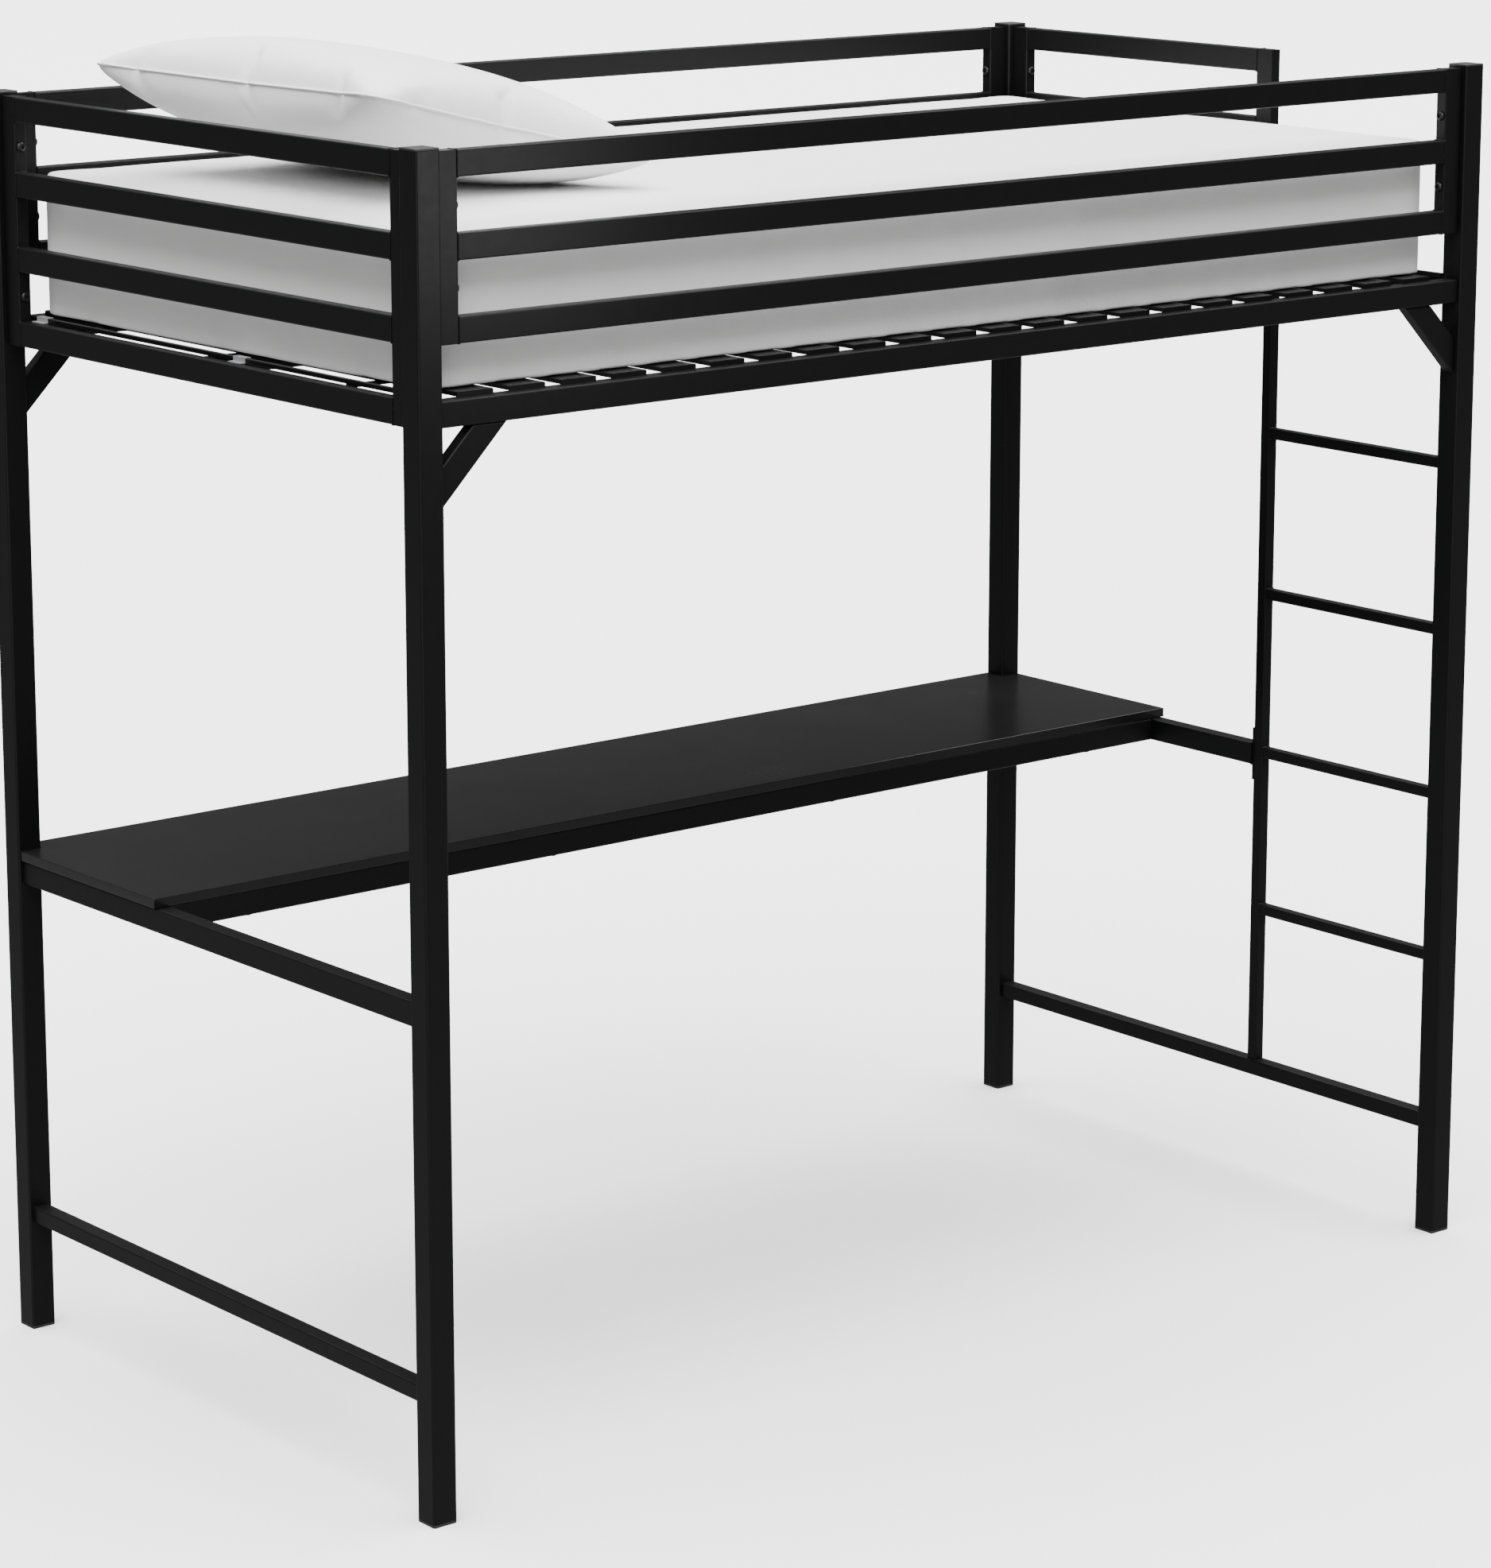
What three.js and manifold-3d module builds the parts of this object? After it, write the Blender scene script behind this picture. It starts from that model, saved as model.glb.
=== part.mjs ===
// A twin loft bed with a full-length desk under it, in millimetres, +Z up.
// The origin is on the floor, under the middle of the bed. +X runs along the bed from the
// pillow end to the ladder end, and +Y runs from the open front side to the desk side.
//
// Four square posts carry everything. Welded guard frames, bed rails, crossbars and the ladder
// are bolted between them, and all of it is thin-walled tube. The lower rails of the long
// guards and of the head frame are pieces of their own, a weld's width short of the uprights.

import * as THREE from 'three';
import { mergeVertices } from 'three/addons/utils/BufferGeometryUtils.js';
import Module from 'manifold-3d';

const wasm = await Module();
wasm.setup();

// ---- Driving dimensions --------------------------------------------------------------------

const LENGTH = 1968;               // over the posts, along X
const WIDTH = 1051;                // over the posts, along Y
const HEIGHT = 1831;               // floor to the top of the post caps
const GAP = 0.3;                   // clearance between pieces that touch

const POST = { side: 38, wall: 1.5 };
const GUARD_TUBE = { height: 35, depth: 20, wall: 1.2 };
const UPRIGHT_WIDTH = 33;
const RAIL_TUBE = { height: 35, depth: 25, wall: 1.5 };
const LOW_TUBE = { height: 25, depth: 25, wall: 1.2 };
const STILE = { side: 18.5, wall: 1.2 };
const RUNG = { side: 17, wall: 1.2 };

const BED_RAIL_BOTTOM = 1472.5;    // underside of the rails that carry the bed
const RAIL_PITCH = 106;            // bed rail to lower, middle and top guard rail
const LOW_BAR_BOTTOM = 164.3;
const DESK_BAR_BOTTOM = 680.5;
const FIRST_RUNG_BOTTOM = 434.4;
const RUNG_PITCH = 259.4;
const RUNG_COUNT = 4;
const STILE_Y = -111.3;            // middle of the ladder's stile
const FREE_UPRIGHT_Y = -109;       // near face of the foot guard's free upright
const END_PLATE = { height: 85, thickness: 3 };

const BRACE = { width: 38, depth: 20, wall: 1.2, leg: 108 };

const SLAT = { width: 57.5, height: 6, sheet: 1.2, reach: 500, pitch: 83.5, perDeck: 11 };
const STRAP = { y: 330, width: 25, thickness: 2.3 };
const END_BAR = { outer: 951.5, width: 8, reach: 486.5 };    // across the outer end of a deck

const DESK = { front: 131, back: 525, halfLength: 981, thickness: 14.5 };
const DESK_SCREW_X = [-817, -272, 272, 817];

const MATTRESS = { length: 1880, width: 964, thickness: 203, corner: 45, edge: 18 };
const PILLOW = {
  length: 630, width: 490, thickness: 180,
  squareness: 0.5, taper: 1.35, segments: [28, 14],
  tilt: 16.5, turn: 1.3, x: -656, y: 47,
};

const FOOT_PAD = 4;                // plastic under each post
const CAP_PLATE = 3;               // plastic on top of each post
const PLUG = { clearance: 0.3, length: 18 };

const BOLT = { radius: 4, headRadius: 7, headHeight: 4.2, socketRadius: 2.9, socketDepth: 2.4 };
const BOLT_BITE = 12;              // how far a guard bolt reaches into its post
const SCREW = { radius: 3, bite: 10 };
const HOLE_CLEARANCE = 0.5;
const ROUND_SIDES = 12;
const DOME = { flat: 0.6, shoulder: 0.3 };     // a bolt head's flat top and straight side

// ---- Places that follow from them ----------------------------------------------------------

const postX = (LENGTH - POST.side) / 2;
const postY = (WIDTH - POST.side) / 2;
const insideX = postX - POST.side / 2;         // facing sides of the posts
const insideY = postY - POST.side / 2;
const tubeEndX = insideX - GAP;                // where a piece between two posts ends
const tubeEndY = insideY - GAP;
const bedRailTop = BED_RAIL_BOTTOM + RAIL_TUBE.height;
const deskBarTop = DESK_BAR_BOTTOM + RAIL_TUBE.height;
const lowBarTop = LOW_BAR_BOTTOM + LOW_TUBE.height;
const slatBottom = bedRailTop + GAP;
const mattressBottom = slatBottom + SLAT.height + GAP;
const mattressTop = mattressBottom + MATTRESS.thickness;
const railBottoms = [1, 2, 3].map((step) => BED_RAIL_BOTTOM + step * RAIL_PITCH);
const guardBottom = railBottoms[0];
const guardTop = railBottoms[2] + GUARD_TUBE.height;

// Middle of the open gap above guard rail number step, where a bolt goes.
const boltHeight = (step) =>
  BED_RAIL_BOTTOM + (step + 0.5) * RAIL_PITCH + GUARD_TUBE.height / 2;

const LONG_SIDE_BOLTS = [boltHeight(1), boltHeight(2)];
const HEAD_BOLTS = [boltHeight(0), boltHeight(2)];
const FOOT_BOLTS = [boltHeight(1), boltHeight(2)];

// ---- Finishes ------------------------------------------------------------------------------

const finish = (color, roughness, metalness) =>
  new THREE.MeshStandardMaterial({ color, roughness, metalness });
const blackSteel = () => finish(0x17171a, 0.45, 0.3);
const blackPlastic = () => finish(0x101012, 0.6, 0);
const boltSteel = () => finish(0x1c1c1f, 0.35, 0.7);
const deskBoard = () => finish(0x1a1a1b, 0.25, 0);
const mattressCloth = () => finish(0xf2f2f0, 0.95, 0);
const pillowCloth = () => finish(0xe6e6e8, 0.95, 0);

// ---- Shape helpers -------------------------------------------------------------------------

const loft = new THREE.Group();

function addPart(name, geometry, material) {
  const mesh = new THREE.Mesh(geometry, material);
  mesh.name = name;
  loft.add(mesh);
  return mesh;
}

// A closed mesh with shared corners becomes a solid that can be joined and cut.
function toSolid(geometry) {
  const bare = geometry.clone();
  bare.deleteAttribute('normal');
  bare.deleteAttribute('uv');
  const merged = mergeVertices(bare, 1e-4);
  return new wasm.Manifold(new wasm.Mesh({
    numProp: 3,
    vertProperties: new Float32Array(merged.attributes.position.array),
    triVerts: new Uint32Array(merged.index.array),
  }));
}

function toGeometry(solid) {
  const mesh = solid.getMesh();
  const geometry = new THREE.BufferGeometry();
  geometry.setAttribute('position', new THREE.BufferAttribute(mesh.vertProperties, 3));
  geometry.setIndex(new THREE.BufferAttribute(mesh.triVerts, 1));
  geometry.computeVertexNormals();
  return geometry;
}

// A block given by its lowest and highest corners.
function block(low, high) {
  const size = high.map((value, axis) => value - low[axis]);
  const middle = high.map((value, axis) => (value + low[axis]) / 2);
  return toSolid(new THREE.BoxGeometry(...size).translate(...middle));
}

// A round rod between two points on a line along one axis (0, 1 or 2).
function rod(axis, radius, from, to, centre) {
  const length = Math.abs(to - from);
  const shape = new THREE.CylinderGeometry(radius, radius, length, ROUND_SIDES);
  if (axis === 0) shape.rotateZ(Math.PI / 2);
  if (axis === 2) shape.rotateX(Math.PI / 2);
  const place = [...centre];
  place[axis] = (from + to) / 2;
  return toSolid(shape.translate(...place));
}

// The bore of a tube: its block, pulled in by the wall on the two sides across its axis.
// beyond lengthens it at both ends, so that it leaves the tube open.
function bore(low, high, axis, wall, beyond) {
  const pull = [0, 1, 2].map((side) => (side === axis ? -beyond : wall));
  const inner = [low.map((v, i) => v + pull[i]), high.map((v, i) => v - pull[i])];
  return block(...inner);
}

// A straight open tube that fills the block between two corners.
function tube(low, high, axis, wall) {
  return block(low, high).subtract(bore(low, high, axis, wall, 1));
}

function drill(solid, holes) {
  return holes.reduce((rest, hole) => rest.subtract(hole), solid);
}

// ---- Posts, caps and feet ------------------------------------------------------------------

const corners = [
  { name: 'front_head', x: -1, y: -1, endBolts: HEAD_BOLTS },
  { name: 'back_head', x: -1, y: 1, endBolts: HEAD_BOLTS },
  { name: 'front_foot', x: 1, y: -1, endBolts: [] },
  { name: 'back_foot', x: 1, y: 1, endBolts: FOOT_BOLTS },
];

function postGeometry(corner) {
  const half = POST.side / 2;
  const low = [-half, -half, FOOT_PAD + GAP];
  const high = [half, half, HEIGHT - CAP_PLATE - GAP];
  const radius = BOLT.radius + HOLE_CLEARANCE;
  const sideHoles = LONG_SIDE_BOLTS.map((z) => rod(0, radius, 0, -corner.x * POST.side, [0, 0, z]));
  const endHoles = corner.endBolts.map((z) => rod(1, radius, 0, -corner.y * POST.side, [0, 0, z]));
  return toGeometry(drill(tube(low, high, 2, POST.wall), [...sideHoles, ...endHoles]));
}

// A square plastic plate with a plug that sits inside the post; the plug points up from z = 0.
function pluggedPlate(thickness) {
  const half = POST.side / 2;
  const plug = half - POST.wall - PLUG.clearance;
  const plate = block([-half, -half, 0], [half, half, thickness]);
  const stub = block([-plug, -plug, thickness / 2], [plug, plug, thickness + PLUG.length]);
  return toGeometry(plate.add(stub));
}

for (const corner of corners) {
  const place = [corner.x * postX, corner.y * postY];
  addPart(`post_${corner.name}`, postGeometry(corner), blackSteel()).position.set(...place, 0);
  addPart(`foot_${corner.name}`, pluggedPlate(FOOT_PAD), blackPlastic()).position.set(...place, 0);
  const cap = addPart(`cap_${corner.name}`, pluggedPlate(CAP_PLATE), blackPlastic());
  cap.position.set(...place, HEIGHT);
  cap.rotation.x = Math.PI;
}

// ---- Welded guard frames -------------------------------------------------------------------

// A guard is a ladder of rails between two uprights, in the plane across axis `flat`.
// uprights holds the lowest and highest coordinate of each upright along the guard.
function guardGeometry({ along, flat, middle, uprights, rails, bottoms, bolts }) {
  const face = [middle - GUARD_TUBE.depth / 2, middle + GUARD_TUBE.depth / 2];
  const corner = (run, level, end) => {
    const point = [0, 0, level];
    point[along] = run;
    point[flat] = face[end];
    return point;
  };
  const members = uprights.map(([from, to], index) =>
    ({ low: corner(from, bottoms[index], 0), high: corner(to, guardTop, 1), axis: 2 }));
  const start = uprights[0][0];
  const end = uprights[1][1];
  for (const level of rails) {
    const high = corner(end, level + GUARD_TUBE.height, 1);
    members.push({ low: corner(start, level, 0), high, axis: along });
  }
  const outer = members.map(({ low, high }) => block(low, high)).reduce((a, b) => a.add(b));
  const wall = GUARD_TUBE.wall;
  const hollow = members
    .map(({ low, high, axis }) => bore(low, high, axis, wall, -wall))
    .reduce((a, b) => a.add(b));
  const holes = bolts.map(({ z, from, to }) => {
    const centre = [0, 0, z];
    centre[flat] = middle;
    return rod(along, BOLT.radius + HOLE_CLEARANCE, from, to, centre);
  });
  return toGeometry(drill(outer.subtract(hollow), holes));
}

// Bolt holes right through both walls of an upright.
const through = (heights, [from, to]) => heights.map((z) => ({ z, from: from - 1, to: to + 1 }));

// The loose rails of a guard: tubes of the same section between the two uprights.
function addLooseRails(name, { along, flat, middle, uprights }) {
  ['lower', 'middle'].forEach((label, index) => {
    const low = [0, 0, railBottoms[index]];
    const high = [0, 0, railBottoms[index] + GUARD_TUBE.height];
    low[along] = uprights[0][1] + GAP;
    high[along] = uprights[1][0] - GAP;
    low[flat] = middle - GUARD_TUBE.depth / 2;
    high[flat] = middle + GUARD_TUBE.depth / 2;
    const rail = tube(low, high, along, GUARD_TUBE.wall);
    addPart(`${name}_rail_${label}`, toGeometry(rail), blackSteel());
  });
}

const sideUprights = [
  [-tubeEndX, -tubeEndX + UPRIGHT_WIDTH],
  [tubeEndX - UPRIGHT_WIDTH, tubeEndX],
];
for (const [name, sign] of [['guard_front', -1], ['guard_back', 1]]) {
  const place = { along: 0, flat: 1, middle: sign * postY, uprights: sideUprights };
  addPart(name, guardGeometry({
    ...place,
    rails: [railBottoms[2]],
    bottoms: [guardBottom, guardBottom],
    bolts: sideUprights.flatMap((upright) => through(LONG_SIDE_BOLTS, upright)),
  }), blackSteel());
  addLooseRails(name, place);
}

const headUprights = [
  [-tubeEndY, -tubeEndY + UPRIGHT_WIDTH],
  [tubeEndY - UPRIGHT_WIDTH, tubeEndY],
];
const headPlace = { along: 1, flat: 0, middle: -postX, uprights: headUprights };
addPart('head_frame', guardGeometry({
  ...headPlace,
  rails: [BED_RAIL_BOTTOM, railBottoms[2]],
  bottoms: [BED_RAIL_BOTTOM, BED_RAIL_BOTTOM],
  bolts: headUprights.flatMap((upright) => through(HEAD_BOLTS, upright)),
}), blackSteel());
addLooseRails('head_frame', headPlace);

// The foot guard stops short, so that the ladder has its way in, and it is one piece with its
// rails. Its free upright stands on the bed's end rail.
const footUprights = [
  [FREE_UPRIGHT_Y, FREE_UPRIGHT_Y + UPRIGHT_WIDTH],
  [tubeEndY - UPRIGHT_WIDTH, tubeEndY],
];
addPart('guard_foot', guardGeometry({
  along: 1,
  flat: 0,
  middle: postX,
  uprights: footUprights,
  rails: railBottoms,
  bottoms: [bedRailTop + GAP, guardBottom],
  bolts: through(FOOT_BOLTS, footUprights[1]),
}), blackSteel());

// ---- Bed rails and braces ------------------------------------------------------------------

const railHalf = RAIL_TUBE.depth / 2;
for (const [name, sign] of [['side_rail_front', -1], ['side_rail_back', 1]]) {
  const low = [-tubeEndX, -railHalf, BED_RAIL_BOTTOM];
  const high = [tubeEndX, railHalf, bedRailTop];
  const rail = addPart(name, toGeometry(tube(low, high, 0, RAIL_TUBE.wall)), blackSteel());
  rail.position.y = sign * postY;
}

const endRailLow = [-railHalf, -tubeEndY, BED_RAIL_BOTTOM];
const endRailHigh = [railHalf, tubeEndY, bedRailTop];
const endRail = toGeometry(tube(endRailLow, endRailHigh, 1, RAIL_TUBE.wall));
addPart('end_rail_foot', endRail, blackSteel()).position.x = postX;

const lowHalf = LOW_TUBE.depth / 2;
const beamStart = -postX + GUARD_TUBE.depth / 2 + GAP;
const beamEnd = postX - railHalf - GAP;
const beamLow = [beamStart, -lowHalf, bedRailTop - LOW_TUBE.height];
const beamHigh = [beamEnd, lowHalf, bedRailTop];
addPart('centre_beam', toGeometry(tube(beamLow, beamHigh, 0, LOW_TUBE.wall)), blackSteel());

// A brace is a tube at 45 degrees, cut flush with the post and the rail. It is built in the
// corner where a post rises at x = 0 and a rail runs overhead at z = 0, then turned and placed.
function braceGeometry() {
  const reach = BRACE.leg;
  const low = [-reach, -BRACE.depth / 2, 0];
  const high = [reach * 2, BRACE.depth / 2, BRACE.width];
  const straight = tube(low, high, 0, BRACE.wall);
  const leaning = straight.rotate([0, -45, 0]).translate([0, 0, -reach]);
  const kept = block([GAP, -BRACE.depth, -2 * reach], [2 * reach, BRACE.depth, -GAP]);
  return toGeometry(leaning.intersect(kept));
}

for (const corner of corners) {
  const brace = addPart(`brace_${corner.name}`, braceGeometry(), blackSteel());
  brace.position.set(corner.x * insideX, corner.y * postY, BED_RAIL_BOTTOM);
  if (corner.x > 0) brace.rotation.z = Math.PI;
}

// ---- Slat decks ----------------------------------------------------------------------------

// Each slat is a shallow tray folded from sheet, open underneath. Its ends rest on the side
// rails. A flat bar closes the outer end of a deck, and two straps underneath join it all.
function slatSolid(x) {
  const half = SLAT.width / 2;
  const outer = block([x - half, -SLAT.reach, slatBottom],
    [x + half, SLAT.reach, slatBottom + SLAT.height]);
  const inner = SLAT.reach - SLAT.sheet;
  const under = block([x - half + SLAT.sheet, -inner, slatBottom - 1],
    [x + half - SLAT.sheet, inner, slatBottom + SLAT.height - SLAT.sheet]);
  return outer.subtract(under);
}

for (const [name, sign] of [['slat_deck_head', -1], ['slat_deck_foot', 1]]) {
  const places = Array.from({ length: SLAT.perDeck }, (_, i) => sign * (i + 0.5) * SLAT.pitch);
  const span = (start, end) => [sign * start, sign * end].sort((a, b) => a - b);
  const [from, to] = span((SLAT.pitch - SLAT.width) / 2, END_BAR.outer);
  const [barFrom, barTo] = span(END_BAR.outer - END_BAR.width, END_BAR.outer);
  const bar = block([barFrom, -END_BAR.reach, slatBottom],
    [barTo, END_BAR.reach, slatBottom + SLAT.height]);
  const top = slatBottom + GAP;
  const straps = [-STRAP.y, STRAP.y].map((y) =>
    block([from, y - STRAP.width / 2, top - STRAP.thickness], [to, y + STRAP.width / 2, top]));
  const deck = [...places.map(slatSolid), bar, ...straps].reduce((a, b) => a.add(b));
  addPart(name, toGeometry(deck), blackSteel());
}

// ---- Crossbars near the floor and at desk height -------------------------------------------

for (const [name, sign] of [['low_bar_head', -1], ['low_bar_foot', 1]]) {
  const low = [-lowHalf, -tubeEndY, LOW_BAR_BOTTOM];
  const high = [lowHalf, tubeEndY, lowBarTop];
  const bar = addPart(name, toGeometry(tube(low, high, 1, LOW_TUBE.wall)), blackSteel());
  bar.position.x = sign * postX;
}

const headBarLow = [-railHalf, -tubeEndY, DESK_BAR_BOTTOM];
const headBarHigh = [railHalf, tubeEndY, deskBarTop];
const headBar = toGeometry(tube(headBarLow, headBarHigh, 1, RAIL_TUBE.wall));
addPart('desk_bar_head', headBar, blackSteel()).position.x = -postX;

// At the ladder end the bar stops at the stile, with a flat plate welded to its end.
const stileBackY = STILE_Y + STILE.side / 2 + GAP;
const footBarLow = [-railHalf, stileBackY, DESK_BAR_BOTTOM];
const footBarHigh = [railHalf, tubeEndY, deskBarTop];
const plateMiddle = (DESK_BAR_BOTTOM + deskBarTop) / 2;
const endPlate = block(
  [-STILE.side / 2, stileBackY, plateMiddle - END_PLATE.height / 2],
  [STILE.side / 2, stileBackY + END_PLATE.thickness, plateMiddle + END_PLATE.height / 2],
);
const footBar = tube(footBarLow, footBarHigh, 1, RAIL_TUBE.wall).add(endPlate);
addPart('desk_bar_foot', toGeometry(footBar), blackSteel()).position.x = postX;

// ---- Ladder --------------------------------------------------------------------------------

const stileHalf = STILE.side / 2;
const stileLow = [-stileHalf, -stileHalf, lowBarTop + GAP];
const stileHigh = [stileHalf, stileHalf, BED_RAIL_BOTTOM - GAP];
const stile = toGeometry(tube(stileLow, stileHigh, 2, STILE.wall));
addPart('ladder_stile', stile, blackSteel()).position.set(postX, STILE_Y, 0);

const rungHalf = RUNG.side / 2;
const rungBackY = STILE_Y - stileHalf - GAP;
const rungGeometry = toGeometry(
  tube([-rungHalf, -tubeEndY, 0], [rungHalf, rungBackY, RUNG.side], 1, RUNG.wall),
);
for (let step = 0; step < RUNG_COUNT; step += 1) {
  const rung = addPart(`ladder_rung_${step + 1}`, rungGeometry, blackSteel());
  rung.position.set(postX, 0, FIRST_RUNG_BOTTOM + step * RUNG_PITCH);
}

// ---- Desk ----------------------------------------------------------------------------------

const screwY = DESK.front + railHalf;
const boardBottom = deskBarTop + GAP;
const screwHole = SCREW.radius + HOLE_CLEARANCE;
const screwHoles = (from, to) => DESK_SCREW_X.map((x) => rod(2, screwHole, from, to, [x, screwY, 0]));

// The board's back corners are notched round the two back posts.
const notchX = insideX - GAP;
const notchY = insideY - GAP;
const board = [-1, 1].reduce((rest, sign) => {
  const [from, to] = [sign * notchX, sign * (DESK.halfLength + 1)].sort((a, b) => a - b);
  return rest.subtract(block([from, notchY, 0], [to, DESK.back + 1, HEIGHT]));
}, block([-DESK.halfLength, DESK.front, boardBottom],
  [DESK.halfLength, DESK.back, boardBottom + DESK.thickness]));
const pilotEnd = boardBottom + SCREW.bite + GAP;
const drilledBoard = drill(board, screwHoles(boardBottom - 1, pilotEnd));
addPart('desk_board', toGeometry(drilledBoard), deskBoard());

const frontRailEnd = postX - railHalf - GAP;
const frontRail = tube([-frontRailEnd, DESK.front, DESK_BAR_BOTTOM],
  [frontRailEnd, DESK.front + RAIL_TUBE.depth, deskBarTop], 0, RAIL_TUBE.wall);
const drilledRail = drill(frontRail, screwHoles(DESK_BAR_BOTTOM - 1, deskBarTop + 1));
addPart('desk_rail_front', toGeometry(drilledRail), blackSteel());

const backRail = tube([-tubeEndX, -railHalf, DESK_BAR_BOTTOM], [tubeEndX, railHalf, deskBarTop],
  0, RAIL_TUBE.wall);
addPart('desk_rail_back', toGeometry(backRail), blackSteel()).position.y = postY;

// ---- Guard bolts ---------------------------------------------------------------------------

// A button-head bolt whose shank points along +Z from under the head, at z = 0.
function makeBoltGeometry() {
  const dome = new THREE.LatheGeometry([
    new THREE.Vector2(0, -BOLT.headHeight),
    new THREE.Vector2(BOLT.headRadius * DOME.flat, -BOLT.headHeight),
    new THREE.Vector2(BOLT.headRadius, -BOLT.headHeight * DOME.shoulder),
    new THREE.Vector2(BOLT.headRadius, 0),
    new THREE.Vector2(0, 0),
  ], ROUND_SIDES).rotateX(Math.PI / 2);
  const shankLength = GAP + UPRIGHT_WIDTH + GAP + BOLT_BITE;
  const shank = rod(2, BOLT.radius, -BOLT.headHeight / 2, shankLength, [0, 0, 0]);
  const socket = new THREE.CylinderGeometry(BOLT.socketRadius, BOLT.socketRadius,
    2 * BOLT.socketDepth, 6).rotateX(Math.PI / 2).translate(0, 0, -BOLT.headHeight);
  return toGeometry(toSolid(dome).add(shank).subtract(toSolid(socket)));
}

const boltGeometry = makeBoltGeometry();

// A bolt on an upright's inner side, pointing outwards through it into the post.
function addBolt(name, place, outwards) {
  const bolt = addPart(name, boltGeometry, boltSteel());
  bolt.position.set(...place);
  bolt.quaternion.setFromUnitVectors(new THREE.Vector3(0, 0, 1), outwards);
}

const seatX = tubeEndX - UPRIGHT_WIDTH - GAP;
const seatY = tubeEndY - UPRIGHT_WIDTH - GAP;
for (const corner of corners) {
  LONG_SIDE_BOLTS.forEach((z, index) => {
    const place = [corner.x * seatX, corner.y * postY, z];
    const outwards = new THREE.Vector3(corner.x, 0, 0);
    addBolt(`side_bolt_${corner.name}_${index + 1}`, place, outwards);
  });
  corner.endBolts.forEach((z, index) => {
    const place = [corner.x * postX, corner.y * seatY, z];
    const outwards = new THREE.Vector3(0, corner.y, 0);
    addBolt(`end_bolt_${corner.name}_${index + 1}`, place, outwards);
  });
}

// ---- Mattress and pillow -------------------------------------------------------------------

function roundedOutline(halfX, halfY, radius) {
  const shape = new THREE.Shape();
  shape.absarc(halfX - radius, halfY - radius, radius, 0, Math.PI / 2);
  shape.absarc(radius - halfX, halfY - radius, radius, Math.PI / 2, Math.PI);
  shape.absarc(radius - halfX, radius - halfY, radius, Math.PI, Math.PI * 1.5);
  shape.absarc(halfX - radius, radius - halfY, radius, Math.PI * 1.5, Math.PI * 2);
  return shape;
}

const mattressOutline = roundedOutline(
  MATTRESS.length / 2 - MATTRESS.edge,
  MATTRESS.width / 2 - MATTRESS.edge,
  MATTRESS.corner - MATTRESS.edge,
);
const mattressGeometry = new THREE.ExtrudeGeometry(mattressOutline, {
  depth: MATTRESS.thickness - 2 * MATTRESS.edge,
  bevelEnabled: true,
  bevelThickness: MATTRESS.edge,
  bevelSize: MATTRESS.edge,
  bevelSegments: 3,
  curveSegments: 5,
}).translate(0, 0, MATTRESS.edge);
addPart('mattress', mattressGeometry, mattressCloth()).position.z = mattressBottom;

// A plump pillow: a ball pressed into a rounded rectangle with a lens-like section, lying on
// its belly with the side towards the head frame tipped up.
const soften = (value, power) => Math.sign(value) * Math.abs(value) ** power;

function pillowGeometry() {
  const ball = new THREE.SphereGeometry(1, ...PILLOW.segments).rotateX(Math.PI / 2);
  const points = ball.attributes.position;
  for (let i = 0; i < points.count; i += 1) {
    const point = new THREE.Vector3().fromBufferAttribute(points, i);
    const rim = Math.max(Math.hypot(point.x, point.y), 1e-9);
    points.setXYZ(
      i,
      rim * soften(point.x / rim, PILLOW.squareness) * PILLOW.width / 2,
      rim * soften(point.y / rim, PILLOW.squareness) * PILLOW.length / 2,
      soften(point.z, PILLOW.taper) * PILLOW.thickness / 2,
    );
  }
  return toGeometry(toSolid(ball));
}

const tilt = THREE.MathUtils.degToRad(PILLOW.tilt);
const pillow = addPart('pillow', pillowGeometry(), pillowCloth());
pillow.rotation.set(0, tilt, THREE.MathUtils.degToRad(PILLOW.turn), 'ZYX');
pillow.updateMatrixWorld();
const pillowLowest = new THREE.Box3().setFromObject(pillow, true).min.z;
pillow.position.set(PILLOW.x, PILLOW.y, mattressTop + 2 * GAP - pillowLowest);

export default loft;
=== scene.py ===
# %% [markdown]
# # A loft bed with a desk
#
# The bed is black powder-coated steel tube: four square posts, welded guard frames between
# them, slats, a ladder at one end and a long desk board underneath. On top lie a white
# mattress and one plump pillow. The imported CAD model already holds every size, so each piece
# here is built inside the box of the CAD node it finishes.

# %% Load the CAD frame
import math
import bmesh
import bpy
import numpy as np
from mathutils import Matrix, Vector


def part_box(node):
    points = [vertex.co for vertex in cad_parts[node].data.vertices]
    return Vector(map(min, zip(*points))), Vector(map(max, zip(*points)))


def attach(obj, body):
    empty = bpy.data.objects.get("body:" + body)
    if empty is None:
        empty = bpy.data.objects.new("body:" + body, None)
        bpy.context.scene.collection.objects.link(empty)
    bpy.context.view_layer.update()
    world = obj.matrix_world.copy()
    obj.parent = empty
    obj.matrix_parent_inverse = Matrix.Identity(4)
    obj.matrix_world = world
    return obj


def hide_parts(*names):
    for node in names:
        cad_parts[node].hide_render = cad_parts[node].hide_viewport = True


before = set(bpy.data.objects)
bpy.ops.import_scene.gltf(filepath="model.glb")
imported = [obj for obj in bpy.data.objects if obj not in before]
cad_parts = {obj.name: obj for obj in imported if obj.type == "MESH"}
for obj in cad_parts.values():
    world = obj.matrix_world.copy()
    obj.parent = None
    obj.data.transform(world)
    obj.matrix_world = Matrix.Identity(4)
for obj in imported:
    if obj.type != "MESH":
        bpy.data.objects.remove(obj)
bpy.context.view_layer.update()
MM = 0.001
X, Y, Z = 0, 1, 2

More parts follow.
